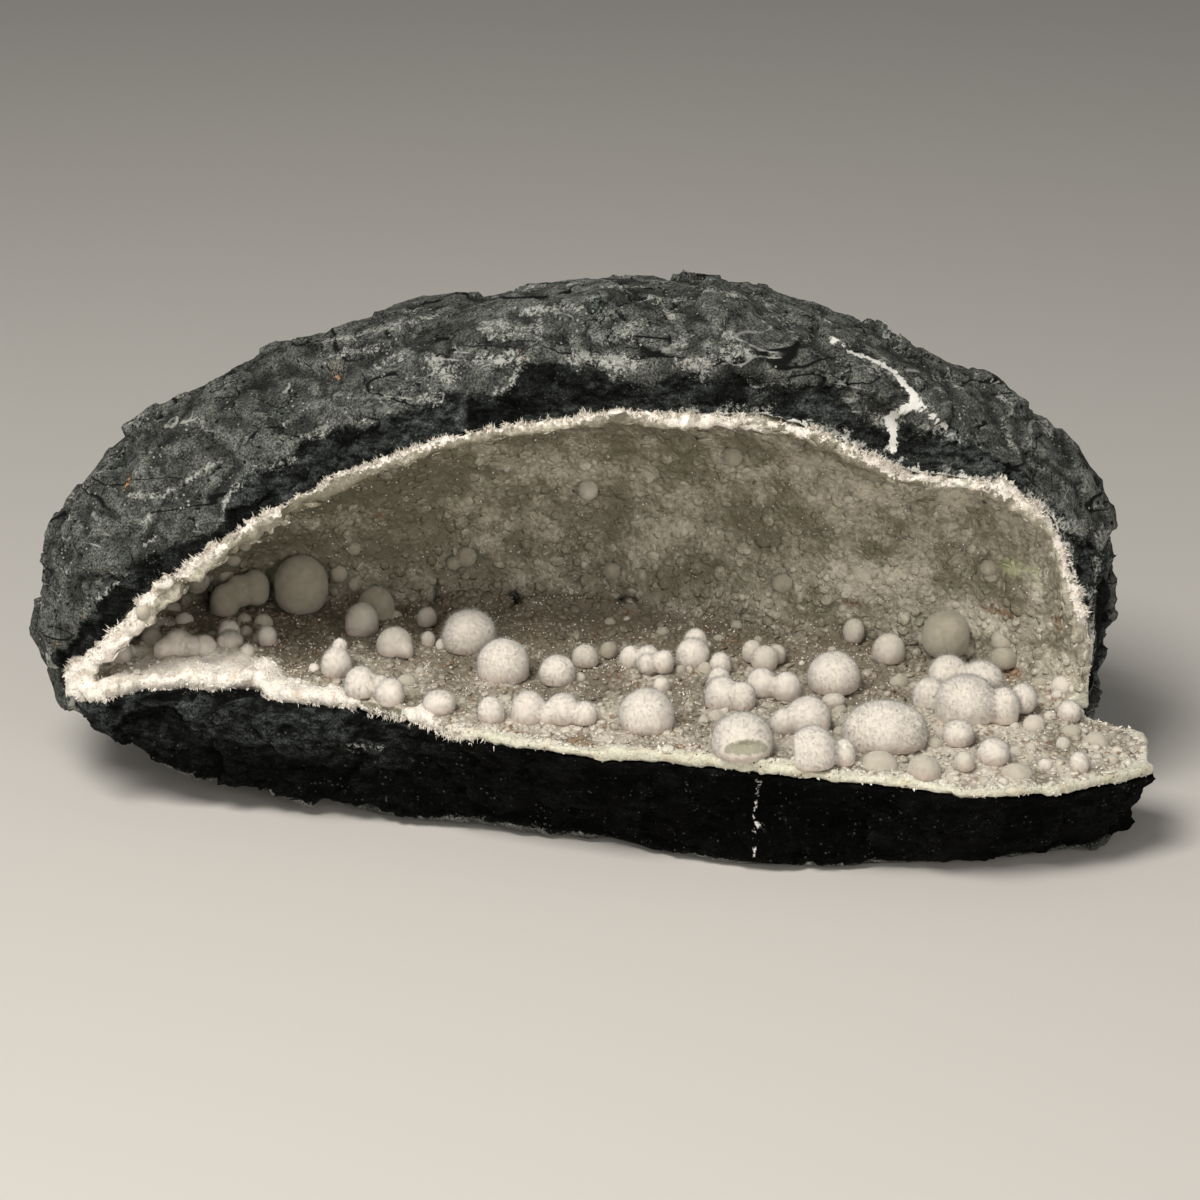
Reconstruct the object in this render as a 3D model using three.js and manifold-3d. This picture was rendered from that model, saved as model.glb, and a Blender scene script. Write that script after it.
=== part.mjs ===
// Okenite puffballs in a vug: a broken basalt nodule whose hollow is lined by a druzy chalcedony crust,
// with white fibrous balls of okenite grown on the crust. Millimetres, +Z up, the open side faces -Y.
import * as THREE from "three";
import { mergeVertices } from "three/addons/utils/BufferGeometryUtils.js";
import Module from "manifold-3d";

const wasm = await Module();
wasm.setup();

// ---- Driving dimensions -------------------------------------------------------------------------

const GAP = 0.3; // clearance between pieces that grew against each other
const CRUST = 4.2; // thickness of the druzy crust
const CRUST_LIP = 1.4; // how far the crust's broken edge stands proud of the basalt
const SUNK = 0.16; // share of a puffball's height that is grown into the crust

// The nodule's widest outline lies in a plane that leans back by this angle.
const LEAN = THREE.MathUtils.degToRad(20);
const NODULE_CENTRE = new THREE.Vector3(0, 2, 76);
const NODULE_FRONT_LEFT = 62; // reach from the widest outline forward, at its left and right ends
const NODULE_FRONT_RIGHT = 90;
const NODULE_BROW = 7; // how much further forward the nodule reaches at its top
const NODULE_BACK = 92; // reach from the widest outline to the back
const NODULE_FACETS = 7;
const NODULE_SQUARENESS = 0.9;

// Height and pitch of the swells of the weathered skin, which are only slight at the widest outline.
const SKIN_SWELLS = [[4, 45], [2.2, 18]];
const SKIN_LEAST = 0.25; // share of the relief at the widest outline
const SKIN_WHOLE = 45; // distance from the widest outline where the relief is whole
// Ledges that run slanting round the rock.
const LEDGE_DEPTH = 3.5;
const LEDGE_PITCH = 27; // height from one ledge to the next
const LEDGE_SLANT = [0.3, -0.2]; // fall of a ledge along x and along y
const LEDGE_WAVER = 60; // pitch at which the ledges waver

// Widest outline of the nodule, anticlockwise: across and up, from the nodule's centre.
const NODULE_OUTLINE = [
  [173, 0], [170, 16], [160, 28], [149, 42], [139, 53], [128, 59], [114, 64], [98, 72], [78, 78],
  [62, 86], [48, 90], [29, 91], [13, 94], [-2, 92], [-20, 90], [-36, 85], [-54, 84], [-66, 81],
  [-83, 75], [-97, 72], [-111, 67], [-123, 60], [-134, 56], [-143, 49], [-156, 43], [-166, 38],
  [-174, 25], [-178, 16], [-183, 8], [-187, -2], [-190, -14], [-189, -28], [-185, -40], [-178, -49],
  [-166, -58], [-148, -66], [-118, -76], [-88, -82], [-48, -88], [0, -93], [50, -98], [98, -96],
  [138, -86], [158, -68], [164, -46], [169, -26], [172, -12],
];

// The mouth of the vug: the nodule is broken off along this face, which leans forward as it rises,
// and the basalt ends at this rim: x, z.
const MOUTH_Y = -34;
const MOUTH_LEAN = 0.08;
const MOUTH_SWELLS = [[3, 70], [2, 30], [1.2, 12]]; // height and pitch of the broken face's relief
const MOUTH_RIM = [
  [-177, 47], [-170, 54], [-162, 60], [-153, 70], [-144, 80], [-129, 90], [-118, 98], [-108, 104],
  [-94, 112], [-80, 119], [-64, 125], [-48, 130], [-19, 136], [0, 138], [12, 141], [22, 137], [33, 138],
  [60, 136], [70, 132], [80, 127], [93, 121], [106, 115], [116, 116], [128, 117], [137, 110],
  [146, 102], [153, 100], [157, 96], [160, 81], [162, 60],
];
// How far behind the mouth the hollow reaches at floor level, along x.
const HOLLOW_DEPTH = [
  [-177, 0], [-172, 34], [-165, 56], [-150, 74], [-125, 77], [-70, 77], [-35, 78], [0, 75], [34, 64],
  [68, 50], [102, 42], [128, 34], [142, 24], [154, 10], [162, 0],
];
const HOLLOW_ROUNDNESS = 2.3;
const HOLLOW_FOOT = 15; // the hollow's solid starts at this height, below the floor that cuts it
const HOLLOW_LEAST = 4; // least height of the hollow above its floor
const HOLLOW_OUT = 25; // how far the hollow's solid runs out in front of the mouth
const SLOPE_REACH = 2; // the rim's slope at a station is taken this far to either side of it
const SLOPE_MOST = 3; // most that the crust's height under the rim grows with that slope, in thicknesses
const WALL_LUMPS = { height: 1.5, pitch: 10, shift: 12 }; // the crust's inner wall, row by row
const CRUST_LUMPS = [[1, 13], [0.5, 6]]; // height and pitch of the lumps of the crust's upper face

// The slab below the floor, from its left end to its right end: x, y, z of each edge of its front.
const SLAB_LIP = [
  [-174, -38, 37], [-163, -44, 40], [-151, -34, 42], [-139, -31, 42], [-131, -26, 43], [-118, -32, 43],
  [-105, -50, 41], [-85, -50, 41], [-69, -58, 41], [-48, -75, 40], [-21, -85, 39], [0, -93, 39],
  [21, -93, 38], [46, -98, 37], [72, -103, 36], [94, -104, 34], [118, -108, 32], [145, -101, 30],
  [161, -92, 29], [179, -80, 28], [177, -72, 30], [179, -58, 32], [167, -51, 33], [156, -42, 34],
];
const SLAB_RIDGE = [
  [-172, -40, 34], [-162, -47, 31], [-147, -45, 30], [-138, -45, 30], [-127, -45, 29], [-116, -48, 29],
  [-104, -53, 29], [-86, -56, 28], [-66, -60, 28], [-44, -65, 28], [-19, -76, 28], [0, -84, 27],
  [21, -88, 25], [46, -89, 23], [72, -89, 21], [94, -95, 20], [118, -99, 19], [145, -96, 18],
  [162, -90, 18], [176, -80, 20], [175, -72, 20], [174, -60, 21], [165, -51, 22], [155, -40, 24],
];
const SLAB_FOOT = [
  [-169, -38, 29], [-158, -42, 24], [-147, -43, 19], [-135, -43, 14], [-125, -44, 10], [-112, -45, 9],
  [-98, -47, 7], [-84, -50, 6], [-66, -54, 5], [-44, -60, 5], [-19, -66, 4], [4, -71, 4], [24, -82, 3],
  [46, -90, 3], [72, -91, 3], [96, -89, 3], [120, -87, 3], [142, -83, 4], [160, -79, 6], [171, -76, 10],
  [170, -68, 12], [168, -58, 12], [160, -48, 12], [152, -38, 12],
];
// The flat that the rock rests on, which lies further back where the underside rises to the left.
const SLAB_BASE = [
  [-128, 30], [-126, 20], [-122, 8], [-116, -4], [-110, -14], [-102, -20], [-92, -27], [-80, -32],
  [-64, -39], [-43, -45], [-18, -54], [4, -60], [24, -72], [46, -81], [72, -82], [96, -80],
  [120, -78], [139, -71], [152, -60], [158, -48], [156, -38], [150, -28], [142, -20], [134, -8],
];
const BASE_BACK = [[120, 10], [104, 34], [40, 42], [-60, 42], [-112, 40], [-122, 38], [-126, 34]];
// The slab's unseen back, inside the nodule, and its height at the foot and at the ridge.
const SLAB_BACK = [[138, 10], [118, 36], [40, 44], [-60, 44], [-118, 34], [-146, 0], [-160, -22]];
const FOOT_BACK_Z = [12, 6, 4, 4, 10, 22, 28];
const RIDGE_BACK_Z = [24, 20, 20, 20, 22, 28, 33];
const LIP_BACK_Z = 36;
const BASE_DOWN = -1; // the slab's solid starts at this height, below the level that it rests on
const TOP_UP = 10; // the slab's solid reaches this far above its lip, and the floor cuts it
// The crust's footing on the slab: drawn in by this share across, by this length at the front, and its
// two corners behind the mouth.
const APRON_SHARE = 0.994;
const APRON_BACK = 0.8;
const APRON_CORNERS = [[150, -20], [-165, -20]];
const FLOOR_BACK_Z = 41;
const FLOOR_BACK_Y = 38;

// Puffballs on the floor. Each name is one piece, and lists the balls that have grown together in it:
// x, y, width, height, and how much higher a ball sits that rests on its neighbours or on the wall.
const FLOOR_PUFFBALLS = {
  back_left_large: [[-103, 31, 19, 17.5, 5], [-101, 26, 8.5, 8.5, 4.5]],
  back_left_worm: [[-129, 26, 10.5, 10.5, 1.2], [-124.5, 30, 10, 10, 4], [-119, 31, 10.5, 10.5, 5]],
  left_back_round: [[-77, 25, 13, 12.5]],
  left_round: [[-81, 9, 12, 12]],
  left_double: [[-69, -10, 12.5, 10], [-65.5, -13, 7, 6.5]],
  left_mid_back: [[-59, 16, 7.5, 7]],
  left_mid_small: [[-58, -3, 5.5, 5.5]],
  left_broad: [[-44, -4, 19, 15]],
  left_bright: [[-32, -29, 18, 15]],
  far_left_pair: [[-87, -30, 11, 10.5], [-86, -26, 6, 6, 5.5]],
  far_left_cluster: [[-78, -48, 11.5, 11], [-72, -48, 9, 8], [-68, -53.5, 10, 9.5]],
  front_left_flat: [[-52, -61, 11.5, 8]],
  front_left_small: [[-35, -68, 9.5, 9]],
  left_edge_cluster: [[-125, -2, 8, 7, 1.4], [-124, -8, 9.5, 6.5, -0.5]],
  left_edge_small: [[-112, -5, 7.5, 7.5]],
  left_edge_fuzzy: [[-141, -15, 12, 10.5], [-145, -17, 8.5, 8], [-136, -15, 8.5, 8]],
  left_corner: [[-160, -17, 8.5, 7.5]],
  centre_left: [[-14, -33, 12.5, 10.5]],
  centre_flat: [[-5, -17, 9.5, 7.5]],
  centre_dim: [[3, -9, 6.5, 5.5]],
  centre_cluster: [[10, -20, 8, 8], [16, -22, 9, 9], [15.5, -27.5, 7, 6.5, 1.2], [21, -26, 8, 7.5, 1]],
  centre_small: [[20, -43, 6.5, 6.5]],
  centre_back: [[31, -18, 12, 10.5], [32, -10, 8.5, 8, 3]],
  front_row: [[-23, -66, 12, 11.5], [-17.5, -68, 7, 6.5], [-12, -66, 11.5, 10.5], [-5, -69, 9, 8]],
  front_centre: [[15, -71, 18.5, 14.5]],
  centre_right_small: [[40, -24, 8, 7.5]],
  centre_right_cluster: [[40, -51, 12.5, 11.5], [46, -52, 10, 10], [39, -44, 8, 7.5, 3.5]],
  centre_right_pair: [[53, -42, 11, 10], [61, -45, 10, 10]],
  centre_far_trio: [[55, -19, 9.5, 8.5], [51, -13.5, 7.5, 7.5, 0.7], [59, -14.5, 7, 6.5, 0.5]],
  front_broken: [[45, -90, 20, 15]],
  front_right_twin: [[67, -68, 15.5, 12], [59, -71, 9.5, 9]],
  front_right_split: [[67, -95, 16.5, 15, -1], [77, -93, 8.5, 9.5]],
  centre_flake: [[76, -50, 8.5, 5]],
  right_large: [[77, -35, 18, 14]],
  right_far_small: [[86, 4.2, 8, 8, 2]],
  right_far: [[97, -10, 11.5, 10.5]],
  right_far_large: [[116, -9, 16, 14, 5]],
  right_cluster: [
    [119, -53, 21, 16.5], [131, -54, 11.5, 13], [138, -48, 10, 9, 2.2], [125, -41, 15, 11, 4],
    [114.5, -37.5, 14, 12, 3.5], [108, -46, 12, 11],
  ],
  right_oval: [[91, -77, 28, 17]],
  right_dim: [[135, -15, 9.5, 6.5, 1.8]],
  right_dim_low: [[147, -24, 8.5, 6, 0.4]],
  right_front: [[115, -73, 11, 8.5]],
  right_front_low: [[125, -86, 11, 8.5]],
  right_front_small: [[115, -93, 7.5, 6.5]],
  front_right_grey: [[102, -98, 11.5, 9.5, -2]],
  right_edge_flat: [[153, -51, 8.5, 7]],
  right_edge_small: [[152, -88, 7, 7]],
};
// The right oval is shallower than it is wide.
const SHALLOW = { right_oval: 0.72 };
// Balls that are broken open: a block is missing at x, y, height above the floor, of this size.
const BREAKS = {
  front_broken: { at: [45.5, -101, 8], size: [12, 14, 8] },
  front_right_split: { at: [55, -95, 8], size: [13, 30, 30] },
};
// Puffballs on the wall and roof: x, y, z, width, depth.
const WALL_PUFFBALLS = {
  wall_middle: [[-4, 27.5, 90, 7.5, 7.5]],
  wall_low: [[4, 32, 59, 6.5, 6.5]],
  wall_left_pair: [[-46, 35.5, 63, 7.5, 7.5], [-50.5, 36, 60.5, 5.5, 5.5]],
  wall_high_disc: [[44.5, 5.5, 109, 7.5, 5]],
  wall_right_disc: [[62, 11, 62, 7.5, 5]],
  wall_far_right: [[129, -12.5, 76, 6, 6]],
  left_wall: [[-139, 30.5, 55.5, 7, 7]],
  roof_left: [[-114, -30, 93, 6, 6]],
};
// Facets around and down a ball, up to each width.
const BALL_FACETS = [[7, 5, 3], [9.6, 6, 3], [18, 7, 4], [Infinity, 9, 5]];
const FOOTPRINT = 0.42; // radius of a puffball's foot, as a share of its width

// Small druse-covered knobs of the crust, strewn over this stretch of the floor.
const KNOBS = 9;
const KNOB_RADIUS = [2.2, 4.2];
const KNOB_UP = 0.1; // height of a knob's middle above the crust, as a share of its width
const KNOB_X = [-140, 158];
const KNOB_Y = [-100, 15];
const KNOB_CLEAR = { lip: 2, wall: 9, ball: 1.5 };

const FAR = 230; // beyond every part of the rock
const BELOW = 20; // below every part of the rock
const WELD = 1e-4; // vertices closer than this are one
const MOUTH_CELL = 15; // facet sizes of the broken face, of the floor and of the crust's upper face
const FLOOR_CELL = 24;
const CRUST_CELL = 16;
const HOLLOW_GRID = [22, 5]; // facets of the hollow and of the crust's inner wall, across and up
const WALL_GRID = [26, 7];

// ---- Small tools --------------------------------------------------------------------------------

function fraction(seed) {
  let h = Math.imul(seed ^ 0x9e3779b9, 0x85ebca6b);
  h = Math.imul(h ^ (h >>> 13), 0xc2b2ae35);
  return ((h ^ (h >>> 16)) >>> 0) / 4294967296;
}

function latticeValue(i, j, k) {
  return fraction(Math.imul(i, 73856093) ^ Math.imul(j, 19349663) ^ Math.imul(k, 83492791));
}

// Smooth random relief between -1 and 1, whose hills are about one pitch apart.
function relief(x, y, z, pitch) {
  const cell = [x / pitch, y / pitch, z / pitch];
  const low = cell.map(Math.floor);
  const ease = cell.map((c, n) => THREE.MathUtils.smoothstep(c - low[n], 0, 1));
  let sum = 0;
  for (let corner = 0; corner < 8; corner += 1) {
    const step = [corner & 1, (corner >> 1) & 1, corner >> 2];
    const weight = step.reduce((w, s, n) => w * (s ? ease[n] : 1 - ease[n]), 1);
    sum += weight * latticeValue(low[0] + step[0], low[1] + step[1], low[2] + step[2]);
  }
  return 2 * sum - 1;
}

// Sum of reliefs, each given as [height, pitch].
function swells(list, x, y, z) {
  return list.reduce((sum, [height, pitch]) => sum + height * relief(x, y, z, pitch), 0);
}

// Value of a curve given by points [x, value], straight between them.
function along(points, x, column = 1) {
  const last = points.length - 1;
  if (x <= points[0][0]) return points[0][column];
  if (x >= points[last][0]) return points[last][column];
  const n = points.findIndex((p) => p[0] > x);
  const t = (x - points[n - 1][0]) / (points[n][0] - points[n - 1][0]);
  return THREE.MathUtils.lerp(points[n - 1][column], points[n][column], t);
}

function geometryOf(points, faces) {
  const geometry = new THREE.BufferGeometry();
  geometry.setAttribute("position", new THREE.Float32BufferAttribute(points.flat(), 3));
  geometry.setIndex(faces.flat());
  return geometry;
}

function solidOf(geometry) {
  const bare = geometry.clone();
  bare.deleteAttribute("normal");
  bare.deleteAttribute("uv");
  const merged = mergeVertices(bare, WELD);
  const faces = [];
  for (let n = 0; n < merged.index.count; n += 3) {
    const [a, b, c] = merged.index.array.subarray(n, n + 3);
    if (a !== b && b !== c && c !== a) faces.push(a, b, c);
  }
  return new wasm.Manifold(
    new wasm.Mesh({
      numProp: 3,
      vertProperties: new Float32Array(merged.attributes.position.array),
      triVerts: new Uint32Array(faces),
    }),
  );
}

// Closed solid from two matching grids of points. Seen from near, with far behind it, the rows of a
// grid run so that the columns lie on their left.
function solidBetween(near, far) {
  const rows = near.length;
  const columns = near[0].length;
  const points = [...near.flat(), ...far.flat()];
  const id = (side, i, j) => side * rows * columns + i * columns + j;
  const faces = [];
  const quad = (a, b, c, d) => faces.push([a, b, c], [a, c, d]);
  for (let i = 0; i < rows - 1; i += 1) {
    for (let j = 0; j < columns - 1; j += 1) {
      quad(id(0, i, j), id(0, i, j + 1), id(0, i + 1, j + 1), id(0, i + 1, j));
      quad(id(1, i, j), id(1, i + 1, j), id(1, i + 1, j + 1), id(1, i, j + 1));
    }
  }
  for (let i = 0; i < rows - 1; i += 1) {
    quad(id(0, i, 0), id(0, i + 1, 0), id(1, i + 1, 0), id(1, i, 0));
    quad(id(0, i, columns - 1), id(1, i, columns - 1), id(1, i + 1, columns - 1), id(0, i + 1, columns - 1));
  }
  for (let j = 0; j < columns - 1; j += 1) {
    quad(id(0, 0, j), id(1, 0, j), id(1, 0, j + 1), id(0, 0, j + 1));
    quad(id(0, rows - 1, j), id(0, rows - 1, j + 1), id(1, rows - 1, j + 1), id(1, rows - 1, j));
  }
  return solidOf(geometryOf(points, faces));
}

// Evenly spaced numbers from low to high, about one step apart.
function span(low, high, step) {
  const count = Math.round((high - low) / step);
  return Array.from({ length: count + 1 }, (_, n) => low + ((high - low) * n) / count);
}

// ---- The rock's outside -------------------------------------------------------------------------

function outlineReach(angle) {
  const turned = NODULE_OUTLINE.map(([across, up]) => {
    const at = Math.atan2(up, across);
    return [at, Math.hypot(across, up)];
  }).sort((a, b) => a[0] - b[0]);
  const first = turned[0];
  const last = turned[turned.length - 1];
  const closed = [[last[0] - 2 * Math.PI, last[1]], ...turned, [first[0] + 2 * Math.PI, first[1]]];
  return along(closed, angle);
}

// How far the weathered skin stands out: swells, and ledges one above the other.
function skin({ x, y, z }) {
  const level = (z + LEDGE_SLANT[0] * x + LEDGE_SLANT[1] * y) / LEDGE_PITCH + relief(x, y, z, LEDGE_WAVER);
  return swells(SKIN_SWELLS, x, y, z) + LEDGE_DEPTH * (level - Math.floor(level) - 0.5);
}

// A rounded nodule: a sphere drawn out to the widest outline, with knobs and hollows on its skin.
function nodule() {
  const ball = new THREE.IcosahedronGeometry(1, NODULE_FACETS);
  const place = ball.attributes.position;
  const point = new THREE.Vector3();
  for (let n = 0; n < place.count; n += 1) {
    point.fromBufferAttribute(place, n).normalize();
    const side = Math.max(Math.hypot(point.x, point.y), 1e-6);
    const turn = new THREE.Vector2(point.x, point.y).divideScalar(side);
    const reach = outlineReach(Math.atan2(turn.y, turn.x)) * side ** NODULE_SQUARENESS;
    const brow = NODULE_BROW * Math.max(turn.y, 0);
    const front = THREE.MathUtils.lerp(NODULE_FRONT_LEFT, NODULE_FRONT_RIGHT, (turn.x + 1) / 2) + brow;
    const forward = Math.sign(point.z) * Math.abs(point.z) ** NODULE_SQUARENESS;
    const out = forward * (point.z > 0 ? front : NODULE_BACK);
    point.set(
      reach * turn.x,
      reach * turn.y * Math.sin(LEAN) - out * Math.cos(LEAN),
      reach * turn.y * Math.cos(LEAN) + out * Math.sin(LEAN),
    );
    const share = THREE.MathUtils.clamp(Math.abs(out) / SKIN_WHOLE, SKIN_LEAST, 1);
    point.setLength(point.length() + skin(point) * share).add(NODULE_CENTRE);
    place.setXYZ(n, point.x, point.y, point.z);
  }
  return solidOf(ball);
}

// The slab: rings of its edges, from the flat it rests on to above the floor, which is cut later.
function slab() {
  const back = (heights) => SLAB_BACK.map(([x, y], n) => [x, y, heights[n] ?? heights[0]]);
  const base = [...SLAB_BASE, ...BASE_BACK].map(([x, y]) => [x, y, BASE_DOWN]);
  const top = SLAB_LIP.map(([x, y, z]) => [x, y, z + TOP_UP]);
  const rings = [
    base,
    [...SLAB_FOOT, ...back(FOOT_BACK_Z)],
    [...SLAB_RIDGE, ...back(RIDGE_BACK_Z)],
    [...SLAB_LIP, ...back([LIP_BACK_Z])],
    [...top, ...back([LIP_BACK_Z + TOP_UP])],
  ];
  const size = rings[0].length;
  const points = rings.flat();
  const faces = [];
  for (let ring = 0; ring < rings.length - 1; ring += 1) {
    for (let n = 0; n < size; n += 1) {
      const a = ring * size + n;
      const b = ring * size + ((n + 1) % size);
      faces.push([a, b, b + size], [a, b + size, a + size]);
    }
  }
  const plan = (ring) => ring.map(([x, y]) => new THREE.Vector2(x, y));
  const lid = (rings.length - 1) * size;
  for (const [a, b, c] of THREE.ShapeUtils.triangulateShape(plan(rings[0]), [])) {
    faces.push([c, b, a]);
  }
  for (const [a, b, c] of THREE.ShapeUtils.triangulateShape(plan(rings[rings.length - 1]), [])) {
    faces.push([lid + a, lid + b, lid + c]);
  }
  return solidOf(geometryOf(points, faces));
}

// ---- The hollow ---------------------------------------------------------------------------------

const FRONT_LIP = SLAB_LIP.slice(0, 20); // the stretch of the lip whose x only grows

// Height of the basalt floor of the hollow.
function floorHeight(x, y) {
  const edgeY = along(FRONT_LIP, x, 1);
  const edgeZ = along(FRONT_LIP, x, 2);
  const back = THREE.MathUtils.clamp((y - edgeY) / (FLOOR_BACK_Y - edgeY), 0, 1);
  return THREE.MathUtils.lerp(edgeZ, FLOOR_BACK_Z, back);
}

// Height of the crust's lumpy upper face.
function crustHeight(x, y) {
  return floorHeight(x, y) + GAP + CRUST + swells(CRUST_LUMPS, x, y, 0);
}

// All that lies above a surface height(x, y), lifted by lift.
function above(height, lift, step) {
  const xs = span(-FAR, FAR, step);
  const ys = span(-FAR, FAR, step);
  const low = xs.map((x) => ys.map((y) => [x, y, height(x, y) + lift]));
  const high = xs.map((x) => ys.map((y) => [x, y, FAR]));
  return solidBetween(low, high);
}

function mouthY(x, z) {
  return MOUTH_Y - MOUTH_LEAN * (z - FLOOR_BACK_Z) + swells(MOUTH_SWELLS, x, 0, z);
}

// All that lies in front of the broken mouth, moved back by shift.
function before(shift) {
  const xs = span(-FAR, FAR, MOUTH_CELL);
  const zs = span(-BELOW, FAR, MOUTH_CELL);
  const face = xs.map((x) => zs.map((z) => [x, mouthY(x, z) + shift, z]));
  const far = xs.map((x) => zs.map((z) => [x, -FAR, z]));
  return solidBetween(face, far);
}

// The hollow behind the mouth, drawn in by inset from the basalt, with lumps of some height on its wall.
// Every inset has the same stations, so that the walls of two insets run alongside each other.
function hollow(inset, columns, rows, lumps) {
  const left = MOUTH_RIM[0][0];
  const right = MOUTH_RIM[MOUTH_RIM.length - 1][0];
  const wall = span(left, right, (right - left) / columns).map((station) => {
    const x = THREE.MathUtils.mapLinear(station, left, right, left + inset, right - inset);
    const rise = along(MOUTH_RIM, station + SLOPE_REACH) - along(MOUTH_RIM, station - SLOPE_REACH);
    const slope = rise / (2 * SLOPE_REACH);
    const top = along(MOUTH_RIM, station) - inset * Math.min(Math.hypot(1, slope), SLOPE_MOST);
    const depth = Math.max(along(HOLLOW_DEPTH, station) - inset, 0);
    const column = [[x, MOUTH_Y + depth, HOLLOW_FOOT]];
    for (let row = 0; row <= rows; row += 1) {
      const up = Math.sin((row / rows) * (Math.PI / 2));
      const bend = Math.max(1 - up ** HOLLOW_ROUNDNESS, 0) ** (1 / HOLLOW_ROUNDNESS);
      const z = THREE.MathUtils.lerp(Math.min(FLOOR_BACK_Z, top - HOLLOW_LEAST), top, up);
      const share = bend * Math.min(depth / WALL_LUMPS.pitch, 1);
      const bumps = lumps * share * relief(station, 0, WALL_LUMPS.shift * row, WALL_LUMPS.pitch);
      column.push([x, MOUTH_Y + depth * bend + bumps, z]);
    }
    return column;
  });
  const face = wall.map((column) => column.map(([x, , z]) => [x, MOUTH_Y - HOLLOW_OUT, z]));
  return solidBetween(wall, face);
}

// ---- The pieces ---------------------------------------------------------------------------------

function basaltMatrix() {
  const rock = nodule().add(slab());
  const rested = rock.intersect(above(() => 0, 0, FAR));
  const mouth = hollow(0, ...HOLLOW_GRID, 0).add(before(0));
  return rested.subtract(mouth.intersect(above(floorHeight, 0, FLOOR_CELL)));
}

// The free space inside the crust, drawn in by clear.
function room(clear) {
  const inside = hollow(GAP + CRUST + clear, ...WALL_GRID, WALL_LUMPS.height);
  return inside.add(before(-CRUST_LIP - clear)).intersect(above(crustHeight, clear, CRUST_CELL));
}

// The crust's footing on the slab in front of the mouth, as a block through all heights. It keeps
// clear of the slab's lip, and reaches back into the nodule.
function apron() {
  const edge = SLAB_LIP.map(([x, y]) => new THREE.Vector2(x * APRON_SHARE, y + APRON_BACK));
  const back = APRON_CORNERS.map(([x, y]) => new THREE.Vector2(x, y));
  return solidOf(new THREE.ExtrudeGeometry(new THREE.Shape([...edge, ...back]), {
    depth: FAR,
    bevelEnabled: false,
  }));
}

// An upright round ball, flat below the height cut, turned by a random angle.
function ball([x, y, z], width, depth, height, cut = -Infinity) {
  const [, around, down] = BALL_FACETS.find(([limit]) => width < limit);
  const end = Math.acos(THREE.MathUtils.clamp((cut - z) / (height / 2), -1, 1));
  const profile = [new THREE.Vector2(0, Math.cos(end))];
  for (let n = down; n >= 0; n -= 1) {
    const angle = (end * n) / down;
    profile.push(new THREE.Vector2(Math.sin(angle), Math.cos(angle)));
  }
  const round = new THREE.LatheGeometry(profile, around);
  round.rotateX(Math.PI / 2);
  round.rotateZ(latticeValue(Math.round(x), Math.round(y), Math.round(z)) * Math.PI);
  round.scale(width / 2, depth / 2, height / 2);
  round.translate(x, y, z);
  return solidOf(round);
}

// Knobs of the crust, strewn over the floor between the puffballs.
function knobs() {
  const balls = Object.values(FLOOR_PUFFBALLS).flat();
  const placed = [];
  for (let n = 0; placed.length < KNOBS; n += 1) {
    const x = THREE.MathUtils.lerp(...KNOB_X, latticeValue(n, 0, 0));
    const y = THREE.MathUtils.lerp(...KNOB_Y, latticeValue(n, 1, 0));
    const radius = THREE.MathUtils.lerp(...KNOB_RADIUS, latticeValue(n, 2, 0));
    const onSlab = y > along(FRONT_LIP, x) + radius + KNOB_CLEAR.lip;
    const offWall = y < MOUTH_Y + along(HOLLOW_DEPTH, x) - KNOB_CLEAR.wall;
    const clear = [...balls, ...placed].every(([ballX, ballY, width]) => {
      return Math.hypot(x - ballX, y - ballY) > width / 2 + radius + KNOB_CLEAR.ball;
    });
    if (onSlab && offWall && clear) placed.push([x, y, 2 * radius]);
  }
  return placed.map(([x, y, width]) => {
    return ball([x, y, crustHeight(x, y) + width * KNOB_UP], width, width, width);
  });
}

function druzyCrust() {
  const lining = hollow(GAP, ...HOLLOW_GRID, 0).subtract(before(-CRUST_LIP));
  const tread = apron().intersect(before(-GAP)).subtract(above(crustHeight, 0, CRUST_CELL));
  const bare = lining.add(tread).subtract(room(0));
  const grown = knobs().reduce((crust, knob) => crust.add(knob), bare);
  return grown.intersect(above(floorHeight, GAP, FLOOR_CELL)).decompose().sort(bySize)[0];
}

function bySize(a, b) {
  return b.volume() - a.volume();
}

// Height of the highest point of the crust's faceted upper face within radius of x, y.
function crustPeak(x, y, radius) {
  const cells = span(-FAR, FAR, CRUST_CELL);
  const cell = cells[1] - cells[0];
  const surface = (px, py) => {
    const i = Math.floor((px + FAR) / cell);
    const j = Math.floor((py + FAR) / cell);
    const [u, v] = [(px + FAR) / cell - i, (py + FAR) / cell - j];
    const corner = (di, dj) => crustHeight(cells[i + di], cells[j + dj]);
    if (u < v) return corner(0, 0) * (1 - v) + corner(0, 1) * (v - u) + corner(1, 1) * u;
    return corner(0, 0) * (1 - u) + corner(1, 0) * (u - v) + corner(1, 1) * v;
  };
  const around = span(0, 2 * Math.PI, Math.PI / 4).map((turn) => {
    return surface(x + radius * Math.cos(turn), y + radius * Math.sin(turn));
  });
  return Math.max(surface(x, y), ...around);
}

// Balls grown together, cut back where they would reach into the crust.
function puffball(balls, crust, space) {
  const whole = balls.reduce((sum, one) => sum.add(one));
  return whole.intersect(crust).isEmpty() ? whole : whole.intersect(space);
}

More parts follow.
